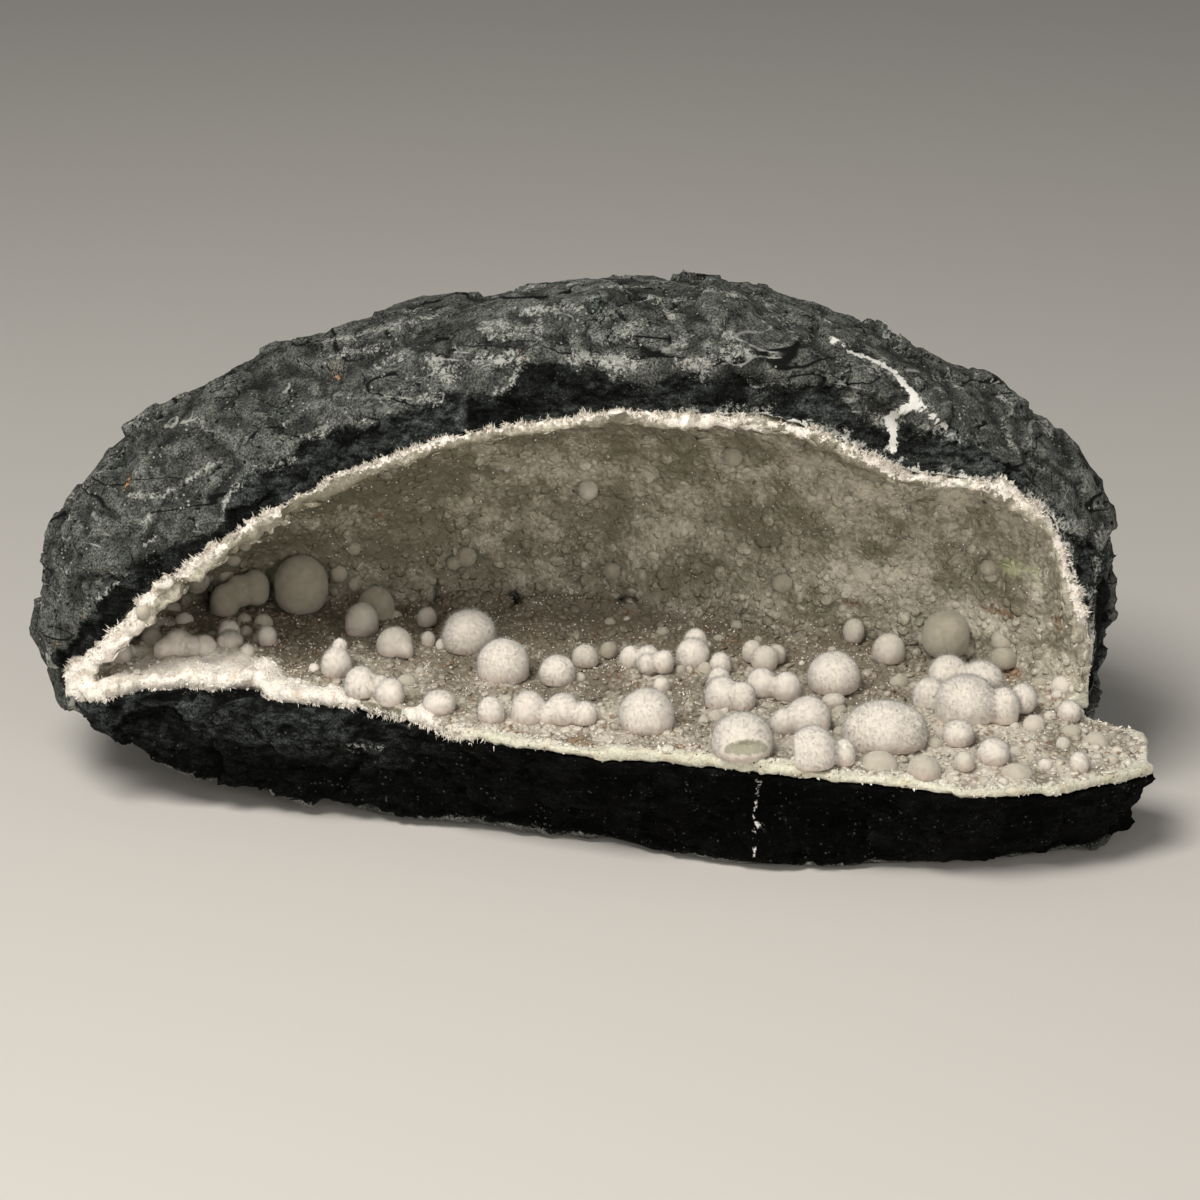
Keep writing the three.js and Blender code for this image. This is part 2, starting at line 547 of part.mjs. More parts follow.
function floorPuffball(name, crust, space) {
  const balls = FLOOR_PUFFBALLS[name].map(([x, y, width, height, lift = 0]) => {
    const z = crustHeight(x, y) + height * (0.5 - SUNK) + lift;
    const cut = lift > 1 ? -Infinity : crustPeak(x, y, width * FOOTPRINT) + GAP;
    return ball([x, y, z], width, width * (SHALLOW[name] ?? 1), height, cut);
  });
  const grown = puffball(balls, crust, space);
  if (!(name in BREAKS)) return grown;
  const { at, size } = BREAKS[name];
  const block = new THREE.BoxGeometry(...size);
  block.translate(at[0], at[1], crustHeight(at[0], at[1]) + at[2]);
  return grown.subtract(solidOf(block));
}

function wallPuffball(name, crust, space) {
  const balls = WALL_PUFFBALLS[name].map(([x, y, z, width, depth]) => {
    return ball([x, y, z], width, depth, width);
  });
  return puffball(balls, crust, space);
}

// ---- The assembly -------------------------------------------------------------------------------

const BASALT = new THREE.MeshStandardMaterial({ color: 0x454844, roughness: 0.92, metalness: 0 });
const DRUSE = new THREE.MeshStandardMaterial({ color: 0xa89f92, roughness: 0.6, metalness: 0 });
const OKENITE = new THREE.MeshStandardMaterial({ color: 0xf1ebe3, roughness: 0.85, metalness: 0 });

function piece(name, solid, material) {
  const { vertProperties, triVerts } = solid.getMesh();
  const geometry = new THREE.BufferGeometry();
  geometry.setAttribute("position", new THREE.BufferAttribute(new Float32Array(vertProperties), 3));
  geometry.setIndex(new THREE.BufferAttribute(new Uint32Array(triVerts), 1));
  geometry.computeVertexNormals();
  const mesh = new THREE.Mesh(geometry, material);
  mesh.name = name;
  return mesh;
}

const specimen = new THREE.Group();
const crust = druzyCrust();
const space = room(GAP);
specimen.add(piece("basalt_matrix", basaltMatrix(), BASALT));
specimen.add(piece("druzy_crust", crust, DRUSE));
for (const name of Object.keys(FLOOR_PUFFBALLS)) {
  specimen.add(piece(`puffball_${name}`, floorPuffball(name, crust, space), OKENITE));
}
for (const name of Object.keys(WALL_PUFFBALLS)) {
  specimen.add(piece(`puffball_${name}`, wallPuffball(name, crust, space), OKENITE));
}

// The origin is at the middle of the flat that the rock rests on.
const middle = new THREE.Box3().setFromObject(specimen).getCenter(new THREE.Vector3());
specimen.position.set(-middle.x, -middle.y, 0);

export default specimen;
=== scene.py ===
"""Okenite puffballs in a basalt vug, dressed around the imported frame.

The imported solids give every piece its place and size. The rock, its druzy crust and the puffballs are rebuilt
here as fine meshes that stay on those solids. Shapes are worked out in millimetres, in the frame's axes, and
become metres when a mesh is made.
"""

import logging
import math
from collections.abc import Sequence
from dataclasses import dataclass, field
from enum import Enum, IntEnum

import bmesh
import bpy
import numpy as np
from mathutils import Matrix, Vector
from mathutils.bvhtree import BVHTree
from mathutils.kdtree import KDTree

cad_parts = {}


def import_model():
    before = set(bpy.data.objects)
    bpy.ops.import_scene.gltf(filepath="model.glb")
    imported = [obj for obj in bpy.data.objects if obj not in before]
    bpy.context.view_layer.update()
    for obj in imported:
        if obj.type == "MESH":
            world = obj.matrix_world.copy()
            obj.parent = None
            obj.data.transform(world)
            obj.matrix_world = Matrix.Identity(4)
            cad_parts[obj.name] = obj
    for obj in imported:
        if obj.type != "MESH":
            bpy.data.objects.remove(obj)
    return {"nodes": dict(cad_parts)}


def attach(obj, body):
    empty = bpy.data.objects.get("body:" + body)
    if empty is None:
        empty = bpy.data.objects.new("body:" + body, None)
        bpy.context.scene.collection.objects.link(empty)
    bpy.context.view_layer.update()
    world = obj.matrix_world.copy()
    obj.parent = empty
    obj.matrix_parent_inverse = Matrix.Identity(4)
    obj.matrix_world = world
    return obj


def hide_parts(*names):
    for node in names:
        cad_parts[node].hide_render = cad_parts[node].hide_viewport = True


log = logging.getLogger("vug")

MM = 0.001
FULL_TURN = 2 * math.pi
BODY = "root"


# ---- Random relief ----


class Salt(IntEnum):
    """Which random pattern is meant. Patterns with several layers also take the numbers after theirs."""

    GRIT = 5
    BREAK = 7
    CHIPS = 11
    BORDER = 17
    LACE = 19
    FRINGE = 20
    CHALK = 23
    CHIP_TONE = 31
    HACKLE_TONE = 33
    HACKLE = 41
    DOMES = 50
    LEDGES = 61
    PITS = 71
    JAGS = 90
    SPREAD = 93
    WIDE_JAGS = 95
    LUMPS = 97
    LEFT_LUMPS = 99
    STAINS = 130
    TONE = 140
    ASIDE = 170
    EDGE_WIDTH = 175
    WORN = 176
    WIDE_ASIDE = 180
    CRUMB_TONE = 190
    CRUMBS = 195
    NEEDLES = 196
    CRYSTALS = 197
    BALL = 310
    SMALL_BALL = 320


def hashed(cell: np.ndarray, salt: int) -> np.ndarray:
    """Gives each whole-number cell a fixed random number.

    Args:
        cell: whole numbers, the last axis being x, y, z.
        salt: another salt gives other numbers.

    Returns:
        Numbers from 0 to 1, one for each cell.
    """
    x, y, z = np.moveaxis(cell.astype(np.int64).astype(np.uint32), -1, 0)
    h = x * np.uint32(73856093) ^ y * np.uint32(19349663) ^ z * np.uint32(83492791)
    h = h ^ np.uint32((salt * 2654435761) % 2**32)
    for shift, factor in ((15, 0x85EBCA6B), (13, 0xC2B2AE35)):
        h = (h ^ (h >> np.uint32(shift))) * np.uint32(factor)
    return (h ^ (h >> np.uint32(16))) / 2.0**32


def relief(at: np.ndarray, pitch: float, salt: int = 0) -> np.ndarray:
    """Smooth random hills.

    Args:
        at: points, one a row.
        pitch: distance from one hill to the next.
        salt: another salt gives other hills.

    Returns:
        A height from -1 to 1 for each point.
    """
    spot = at / pitch
    low = np.floor(spot)
    ease = spot - low
    ease = ease * ease * (3 - 2 * ease)
    total = np.zeros(len(at))
    for corner in np.ndindex(2, 2, 2):
        share = np.where(np.array(corner, bool), ease, 1 - ease).prod(axis=1)
        total += share * hashed(low + corner, salt)
    return 2 * total - 1


def rough(at: np.ndarray, pitch: float, layers: int, salt: int = 0) -> np.ndarray:
    """Hills with smaller hills on them, each layer half as wide and high as the one before."""
    return sum(relief(at, pitch / 2**n, salt + n) / 2**n for n in range(layers))


@dataclass
class Cells:
    """Which cell of a random cell pattern each point lies in.

    Attributes:
        near: distance to the cell's own centre, in pitches.
        edge: how much further the next centre is, in pitches, so 0 on the cell's border.
        away: vector from the cell's centre to the point, in pitches.
        key: the cell's whole-number place.
    """

    near: np.ndarray
    edge: np.ndarray
    away: np.ndarray
    key: np.ndarray

    @classmethod
    def at(cls, at: np.ndarray, pitch: float, salt: int = 0) -> "Cells":
        """Finds each point's cell.

        Args:
            at: points, one a row.
            pitch: width of the cells.
            salt: another salt gives other cells.

        Returns:
            The cells of the points.
        """
        spot = at / pitch
        low = np.floor(spot)
        near = np.full(len(at), 9.0)
        second = near.copy()
        away = np.zeros_like(spot)
        key = low.copy()
        for step in np.ndindex(3, 3, 3):
            cell = low + step - 1
            centre = cell + np.stack([hashed(cell, salt + 100 + n) for n in range(3)], 1)
            gap = spot - centre
            far = np.linalg.norm(gap, axis=1)
            closer = far < near
            second = np.where(closer, near, np.minimum(second, far))
            near = np.where(closer, far, near)
            away[closer] = gap[closer]
            key[closer] = cell[closer]
        return cls(near, second - near, away, key)

    def tone(self, salt: int) -> np.ndarray:
        """A random number from 0 to 1 for each point's cell."""
        return hashed(self.key, salt)

    def chipped(self, salt: int) -> np.ndarray:
        """Flat slanting chips, one to a cell, each at its own slant and height.

        Args:
            salt: another salt gives other slants.

        Returns:
            A height for each point, in pitches.
        """
        slant = np.stack([self.tone(salt + n) - 0.5 for n in range(3)], 1)
        slant /= np.linalg.norm(slant, axis=1)[:, None]
        return (self.away * slant).sum(axis=1) + 0.5 * (self.tone(salt + 3) - 0.5)

    def domed(self) -> np.ndarray:
        """Round domes, 1 at a cell's centre and 0 on its border."""
        return 1 - (self.near / (self.near + self.edge / 2)) ** 2


def eased(value: np.ndarray, low: float, high: float) -> np.ndarray:
    """Smooth step of value from 0 at low to 1 at high."""
    t = np.clip((value - low) / (high - low), 0, 1)
    return t * t * (3 - 2 * t)


# ---- Meshes ----


@dataclass
class Skin:
    """A triangle mesh in millimetres.

    Attributes:
        places: vertices, one a row.
        faces: three vertex numbers a row.
        marks: named numbers, one for each vertex, which the finishes read.
        facing: the direction that each vertex is shaded by, or None for its own.
    """

    places: np.ndarray
    faces: np.ndarray
    marks: dict[str, np.ndarray] = field(default_factory=dict)
    facing: np.ndarray | None = None

    @classmethod
    def of(cls, mesh: bpy.types.Mesh) -> "Skin":
        """Reads a Blender mesh, with vertices at one place welded.

        Args:
            mesh: the mesh, in metres.

        Returns:
            The same mesh in millimetres.
        """
        bm = bmesh.new()
        bm.from_mesh(mesh)
        bmesh.ops.remove_doubles(bm, verts=bm.verts, dist=0.001 * MM)
        bmesh.ops.triangulate(bm, faces=bm.faces)
        places = np.array([v.co for v in bm.verts]) / MM
        faces = np.array([[v.index for v in f.verts] for f in bm.faces])
        bm.free()
        return cls(places, faces)

    @classmethod
    def joined(cls, parts: Sequence["Skin"]) -> "Skin":
        """Several meshes as one.

        Args:
            parts: meshes with the same marks. All or none have directions to be shaded by.

        Returns:
            The joined mesh.
        """
        firsts = np.cumsum([0] + [len(part.places) for part in parts])
        return cls(
            np.concatenate([part.places for part in parts]),
            np.concatenate([part.faces + first for part, first in zip(parts, firsts)]),
            {name: np.concatenate([part.marks[name] for part in parts]) for name in parts[0].marks},
            None if parts[0].facing is None else np.concatenate([part.facing for part in parts]),
        )

    def mesh(self, name: str) -> bpy.types.Mesh:
        """Makes the Blender mesh, in metres, with its marks as attributes.

        Args:
            name: the mesh's name.

        Returns:
            The Blender mesh.
        """
        mesh = bpy.data.meshes.new(name)
        mesh.vertices.add(len(self.places))
        mesh.vertices.foreach_set("co", (self.places * MM).astype(np.float32).ravel())
        mesh.loops.add(self.faces.size)
        mesh.loops.foreach_set("vertex_index", self.faces.astype(np.int32).ravel())
        mesh.polygons.add(len(self.faces))
        mesh.polygons.foreach_set("loop_start", np.arange(0, self.faces.size, 3, dtype=np.int32))
        for mark, values in self.marks.items():
            layer = mesh.attributes.new(mark, "FLOAT", "POINT")
            layer.data.foreach_set("value", values.astype(np.float32))
        mesh.update(calc_edges=True)
        mesh.validate()
        return mesh

    def piece(self, name: str, smooth: bool = True) -> bpy.types.Object:
        """Makes a Blender object of the mesh.

        Args:
            name: the object's name.
            smooth: whether its faces are shaded as one round surface.

        Returns:
            The object.
        """
        mesh = self.mesh(name)
        mesh.shade_smooth() if smooth else mesh.shade_flat()
        if self.facing is not None:
            mesh.normals_split_custom_set_from_vertices(self.facing.tolist())
        obj = bpy.data.objects.new(name, mesh)
        bpy.context.scene.collection.objects.link(obj)
        return obj

    def changed(self, **modifiers: dict[str, object]) -> "Skin":
        """Runs Blender's modifiers on the mesh.

        Args:
            modifiers: the settings of each modifier, by its type in small letters.

        Returns:
            The changed mesh, without marks.
        """
        obj = self.piece("working")
        for kind, settings in modifiers.items():
            modifier = obj.modifiers.new(kind, kind.upper())
            for setting, value in settings.items():
                setattr(modifier, setting, value)
        if "thin" in self.marks:
            group = obj.vertex_groups.new(name="thin")
            for n in np.flatnonzero(self.marks["thin"] > 0):
                group.add([int(n)], float(self.marks["thin"][n]), "REPLACE")
        shown = obj.evaluated_get(bpy.context.evaluated_depsgraph_get())
        mesh = shown.to_mesh()
        mesh.calc_loop_triangles()
        places = np.empty(len(mesh.vertices) * 3, np.float32)
        mesh.vertices.foreach_get("co", places)
        faces = np.empty(len(mesh.loop_triangles) * 3, np.int32)
        mesh.loop_triangles.foreach_get("vertices", faces)
        shown.to_mesh_clear()
        old = obj.data
        bpy.data.objects.remove(obj)
        bpy.data.meshes.remove(old)
        return Skin(places.reshape(-1, 3).astype(float) / MM, faces.reshape(-1, 3))

    def remeshed(self, grid: float) -> "Skin":
        """The same form with even faces about one grid wide, overlapping bodies joined."""
        return self.changed(remesh={"mode": "VOXEL", "voxel_size": grid * MM})

    def thinned(self, hidden: np.ndarray, share: float) -> "Skin":
        """Merges faces where nothing is seen.

        Args:
            hidden: 1 for each vertex that is out of sight, 0 for the others.
            share: share of the hidden faces to keep.

        Returns:
            The lighter mesh.
        """
        hidden_part = float(np.mean(hidden[self.faces].min(axis=1)))
        self.marks["thin"] = hidden
        ratio = 1 - hidden_part * (1 - share)
        return self.changed(decimate={"ratio": ratio, "vertex_group": "thin"})

    def normals(self) -> np.ndarray:
        """The outward direction at each vertex.

        Returns:
            One direction a row.
        """
        a, b, c = (self.places[self.faces[:, n]] for n in range(3))
        across = np.repeat(np.cross(b - a, c - a), 3, axis=0)
        corners = self.faces.ravel()
        total = np.stack([np.bincount(corners, across[:, n], len(self.places)) for n in range(3)], 1)
        return total / np.maximum(np.linalg.norm(total, axis=1), 1e-12)[:, None]

    def evened(self, values: np.ndarray, rounds: int, share: np.ndarray | float = 1.0) -> np.ndarray:
        """Averages values with those of the neighbouring vertices.

        Args:
            values: one row or number for each vertex.
            rounds: how many times.
            share: how far each vertex goes towards the average, from 0 to 1.

        Returns:
            The smoother values.
        """
        ends = np.concatenate([self.faces[:, [0, 1]], self.faces[:, [1, 2]], self.faces[:, [2, 0]]])
        count = np.maximum(np.bincount(ends[:, 0], minlength=len(self.places)), 1)
        columns = values.reshape(len(values), -1).astype(float)
        part = np.broadcast_to(np.asarray(share, float), len(values))[:, None]
        for _ in range(rounds):
            mean = [np.bincount(ends[:, 0], column[ends[:, 1]], len(values)) for column in columns.T]
            columns = columns + part * (np.stack(mean, 1) / count[:, None] - columns)
        return columns.reshape(values.shape)

    def tree(self) -> BVHTree:
        """A search tree of the faces."""
        return BVHTree.FromPolygons(self.places.tolist(), self.faces.tolist())

    def areas(self) -> np.ndarray:
        """Each face's area."""
        a, b, c = (self.places[self.faces[:, n]] for n in range(3))
        return np.linalg.norm(np.cross(b - a, c - a), axis=1) / 2

    def sampled(
        self, count: int, chance: np.ndarray, rng: np.random.Generator
    ) -> tuple[np.ndarray, np.ndarray]:
        """Random points on the faces.

        Args:
            count: how many.
            chance: how likely a spot near each vertex is, from 0 to 1.
            rng: source of random numbers.

        Returns:
            The points and the outward direction at each.
        """
        weight = self.areas() * chance[self.faces].mean(axis=1)
        if weight.sum() <= 0:
            return np.zeros((0, 3)), np.zeros((0, 3))
        face = rng.choice(len(self.faces), count, p=weight / weight.sum())
        share = rng.dirichlet((1, 1, 1), count)
        corner = self.faces[face]
        points = (self.places[corner] * share[:, :, None]).sum(axis=1)
        way = (self.normals()[corner] * share[:, :, None]).sum(axis=1)
        return points, way / np.linalg.norm(way, axis=1)[:, None]


def spaced(points: np.ndarray, gap: np.ndarray) -> np.ndarray:
    """Picks points that keep their distance from those picked before them.

    Args:
        points: candidates, one a row.
        gap: least distance of each candidate from the others.

    Returns:
        The numbers of the points that are kept.
    """
    cell = float(gap.max())
    taken: dict[tuple[int, int, int], list[int]] = {}
    kept = []
    keys = np.floor(points / cell).astype(int)
    steps = [(i - 1, j - 1, k - 1) for i, j, k in np.ndindex(3, 3, 3)]
    rows = points.tolist()
    gaps = gap.tolist()
    for n, (key, row) in enumerate(zip(keys.tolist(), rows)):
        x, y, z = key
        near = (m for i, j, k in steps for m in taken.get((x + i, y + j, z + k), ()))
        if all(math.dist(row, rows[m]) >= (gaps[n] + gaps[m]) / 2 for m in near):
            taken.setdefault(tuple(key), []).append(n)
            kept.append(n)
    return np.array(kept, int)


def turned_to(way: np.ndarray, spin: np.ndarray) -> np.ndarray:
    """Turns that carry the z axis to a direction.

    Args:
        way: directions, one a row.
        spin: turn about each direction, in radians.

    Returns:
        Three axes for each direction, as the columns of a matrix.
    """
    side = np.where(np.abs(way[:, :1]) > 0.8, [[0.0, 1.0, 0.0]], [[1.0, 0.0, 0.0]])
    first = np.cross(way, side)
    first /= np.linalg.norm(first, axis=1)[:, None]
    second = np.cross(way, first)
    across = first * np.cos(spin)[:, None] + second * np.sin(spin)[:, None]
    return np.stack([across, np.cross(way, across), way], axis=2)


def strewn(
    shape: Skin, places: np.ndarray, turns: np.ndarray, sizes: np.ndarray, marks: dict[str, np.ndarray]
) -> Skin:
    """Copies of one small shape, joined in one mesh.

    Args:
        shape: the shape, about the origin.
        places: where each copy goes.
        turns: three axes for each copy.
        sizes: size of each copy along its own three axes.
        marks: named numbers, one for each copy.

    Returns:
        The joined mesh.
    """
    count = len(places)
    local = shape.places[None] * sizes[:, None, :]
    spots = np.einsum("nij,nvj->nvi", turns, local) + places[:, None, :]
    faces = shape.faces[None] + (np.arange(count) * len(shape.places))[:, None, None]
    made = {name: np.repeat(values, len(shape.places)) for name, values in marks.items()}
    return Skin(spots.reshape(-1, 3), faces.reshape(-1, 3), made)


def ringed(heights: Sequence[float], radii: Sequence[float], sides: int) -> Skin:
    """A closed round shape about the z axis.

    Args:
        heights: height of the top point, of each ring and of the bottom point.
        radii: radius of each ring.
        sides: corners of a ring.

    Returns:
        The shape.
    """
    points = [[0.0, 0.0, heights[0]]]
    for row, radius in enumerate(radii):
        for n in range(sides):
            angle = FULL_TURN * (n + 0.5 * (row % 2)) / sides
            points.append([radius * math.cos(angle), radius * math.sin(angle), heights[row + 1]])
    points.append([0.0, 0.0, heights[-1]])
    last = len(points) - 1
    faces = []
    for n in range(sides):
        after = (n + 1) % sides
        faces.append([0, 1 + n, 1 + after])
        for row in range(len(radii) - 1):
            a, b = 1 + row * sides + n, 1 + row * sides + after
            c, d = a + sides, b + sides
            faces += [[a, c, b], [b, c, d]] if row % 2 == 0 else [[a, c, d], [a, d, b]]
        low = 1 + (len(radii) - 1) * sides
        faces.append([low + n, last, low + after])
    return Skin(np.array(points), np.array(faces))


# Small shapes that are strewn: a grain, a crystal, a crumb and a hair or needle.
DOME = ringed((1.0, 0.72, -0.05, -0.4), (0.66, 1.0), 6)
CRYSTAL = ringed((1.0, 0.0, -1.0), (1.0,), 4)
SHARD = ringed((1.0, 0.0, -0.5), (1.0,), 4)
SPIKE = Skin(
    np.array([[0.0, 0.0, 1.0], [1.0, 0.0, 0.0], [-0.5, 0.87, 0.0], [-0.5, -0.87, 0.0]]),
    np.array([[0, 1, 2], [0, 2, 3], [0, 3, 1], [1, 3, 2]]),
)


# ---- Node finishes ----

Socket = bpy.types.NodeSocket
Cloud = tuple[float, ...]

# How far the rock's layers slope, in degrees.
BEDDING = 12


class Finish:
    """One procedural material, wired by short calls."""

    def __init__(self, name: str) -> None:
        """Starts an empty material with a Principled shader.

        Args:
            name: the material's name.
        """
        self.material = bpy.data.materials.new(name)
        self.material.use_nodes = True
        self.tree = self.material.node_tree
        self.shader = self.tree.nodes["Principled BSDF"]
        self.coords = self.tree.nodes.new("ShaderNodeTexCoord").outputs["Object"]

    def link(self, source: Socket, target: Socket) -> None:
        """Joins two sockets."""
        self.tree.links.new(source, target)

    def fill(self, socket: Socket, value: Socket | float | Sequence[float]) -> None:
        """Sets a socket, or joins it to another.

        Args:
            socket: the socket.
            value: a number or a colour, or the socket to join it to.
        """
        if isinstance(value, Socket):
            self.link(value, socket)
        else:
            socket.default_value = value

    def mark(self, name: str) -> Socket:
        """A mesh's own mark.

        Args:
            name: the mark's name.

        Returns:
            The mark, at each spot of the mesh.
        """
        node = self.tree.nodes.new("ShaderNodeAttribute")
        node.attribute_name = name
        return node.outputs["Fac"]

    def noise(
        self, width: float, detail: float = 2.0, roughness: float = 0.5, stretch: float = 1.0
    ) -> Socket:
        """Cloudy noise.

        Args:
            width: width of its clouds, in millimetres.
            detail: how many finer layers it has.
            roughness: how strong those are.
            stretch: how many times longer than high its clouds are.

        Returns:
            The noise, about 0.5 on average.
        """
        node = self.tree.nodes.new("ShaderNodeTexNoise")
        node.inputs["Scale"].default_value = 1 / (width * MM)
        node.inputs["Detail"].default_value = detail
        node.inputs["Roughness"].default_value = roughness
        squash = self.tree.nodes.new("ShaderNodeMapping")
        squash.inputs["Rotation"].default_value = (0.0, math.radians(BEDDING), 0.0)
        squash.inputs["Scale"].default_value = (1 / stretch, 1 / stretch, 1.0)
        self.link(self.coords, squash.inputs["Vector"])
        self.link(squash.outputs[0], node.inputs["Vector"])
        return node.outputs["Fac"]

    def streaks(self, width: float, stretch: float, thin: float) -> Socket:
        """Long wavy lines, 1 on a line and 0 beside it."""
        off = self.maths("SUBTRACT", self.noise(width, 2, 0.45, stretch), 0.5)
        return self.ramp(self.maths("ABSOLUTE", off), thin, 0.3 * thin)

    def cracks(self, width: float, bend: float) -> Socket:
        """Cracks between wavy flakes.

        Args:
            width: width of the flakes, in millimetres.
            bend: how far the cracks wander, in millimetres.

        Returns:
            The distance to the nearest crack, as a share of the flakes' width.
        """
        cloud = self.tree.nodes.new("ShaderNodeTexNoise")
        cloud.inputs["Scale"].default_value = 1 / (0.4 * width * MM)
        cloud.inputs["Detail"].default_value = 4.0
        self.link(self.coords, cloud.inputs["Vector"])
        moved = self.tree.nodes.new("ShaderNodeVectorMath")
        moved.operation = "MULTIPLY_ADD"
        self.link(cloud.outputs["Color"], moved.inputs[0])
        moved.inputs[1].default_value = [bend * MM] * 3
        self.link(self.coords, moved.inputs[2])
        node = self.tree.nodes.new("ShaderNodeTexVoronoi")
        node.feature = "DISTANCE_TO_EDGE"
        node.inputs["Scale"].default_value = 1 / (width * MM)
        self.link(moved.outputs[0], node.inputs["Vector"])
        return node.outputs["Distance"]

    def grains(self, width: float) -> Socket:
        """Round grains.

        Args:
            width: width of a grain, in millimetres.

        Returns:
            The distance to the middle of the nearest grain, as a share of that width.
        """
        node = self.tree.nodes.new("ShaderNodeTexVoronoi")
        node.inputs["Scale"].default_value = 1 / (width * MM)
        self.link(self.coords, node.inputs["Vector"])
        return node.outputs["Distance"]

    def maths(self, operation: str, a: Socket | float, b: Socket | float = 0.0) -> Socket:
        """One step of arithmetic.

        Args:
            operation: the name of Blender's operation.
            a: the first number.
            b: the second number.

        Returns:
            The result.
        """
        node = self.tree.nodes.new("ShaderNodeMath")
        node.operation = operation
        self.fill(node.inputs[0], a)
        self.fill(node.inputs[1], b)
        return node.outputs[0]

    def ramp(
        self, value: Socket, low: float, high: float, out_low: float = 0.0, out_high: float = 1.0
    ) -> Socket:
        """Smooth step of a value.

        Args:
            value: the value.
            low: where the step starts.
            high: where it ends. It may be below low.
            out_low: the result at low.
            out_high: the result at high.

        Returns:
            The stepped value.
        """
        node = self.tree.nodes.new("ShaderNodeMapRange")
        node.interpolation_type = "SMOOTHSTEP"
        for socket, number in zip(list(node.inputs)[1:5], (low, high, out_low, out_high)):
            socket.default_value = number
        self.link(value, node.inputs["Value"])
        return node.outputs["Result"]

    def mixed(self, share: Socket, a: Socket | Sequence[float], b: Socket | Sequence[float]) -> Socket:
        """A colour between two others.

        Args:
            share: how much of the second one shows.
            a: the first colour.
            b: the second colour.

        Returns:
            The mixed colour.
        """
        node = self.tree.nodes.new("ShaderNodeMix")
        node.data_type = "RGBA"
        self.link(share, node.inputs["Factor"])
        for socket, colour in ((node.inputs[6], a), (node.inputs[7], b)):
            self.fill(socket, colour if isinstance(colour, Socket) else tuple(colour))
        return node.outputs[2]

    def shaded(self, colour: Socket, share: Socket) -> Socket:
        """A colour made darker or lighter.

        Args:
            colour: the colour.
            share: what its light is multiplied by.

        Returns:
            The changed colour.
        """
        node = self.tree.nodes.new("ShaderNodeVectorMath")
        node.operation = "SCALE"
        self.link(colour, node.inputs[0])
        self.link(share, node.inputs["Scale"])
        return node.outputs[0]

    def frayed(self, name: str, cloud: Cloud, low: float, amount: float) -> Socket:
        """A mesh's own mark with a ragged border."""
        mark = self.mark(name)
        return self.maths("ADD", mark, self.ramp(self.noise(*cloud), low, 1 - low, -amount, amount))

    def patchy(self, spots: Socket, cloud: Cloud, low: float, high: float) -> Socket:
        """Spots or lines that show only in patches."""
        return self.maths("MULTIPLY", spots, self.ramp(self.noise(*cloud), low, high))

    def over(self, colour: Socket, code: str, share: Socket, low: float, high: float, most: float) -> Socket:
        """A colour with another laid over it."""
        return self.mixed(self.ramp(share, low, high, 0, most), colour, tint(code))

    def bump(self, height: Socket, depth: float) -> None:
        """Raises the surface by a height map.

        Args:
            height: the height map.
            depth: how high it is at 1, in millimetres.
        """
        node = self.tree.nodes.new("ShaderNodeBump")
        node.inputs["Distance"].default_value = depth * MM
        self.link(height, node.inputs["Height"])
        self.link(node.outputs["Normal"], self.shader.inputs["Normal"])

    def set(self, **values: Socket | float | Sequence[float]) -> None:
        """Sets the shader's own sockets, named with _ for a space."""
        for name, value in values.items():
            self.fill(self.shader.inputs[name.replace("_", " ")], value)


def tint(code: str) -> tuple[float, float, float, float]:
    """A colour for a shader.

    Args:
        code: the colour as six hexadecimal digits.

    Returns:
        Its red, green, blue and alpha, in linear light.
    """
    parts = [int(code[n : n + 2], 16) / 255 for n in (0, 2, 4)]
    light = [c / 12.92 if c <= 0.04045 else ((c + 0.055) / 1.055) ** 2.4 for c in parts]
    return (*light, 1.0)


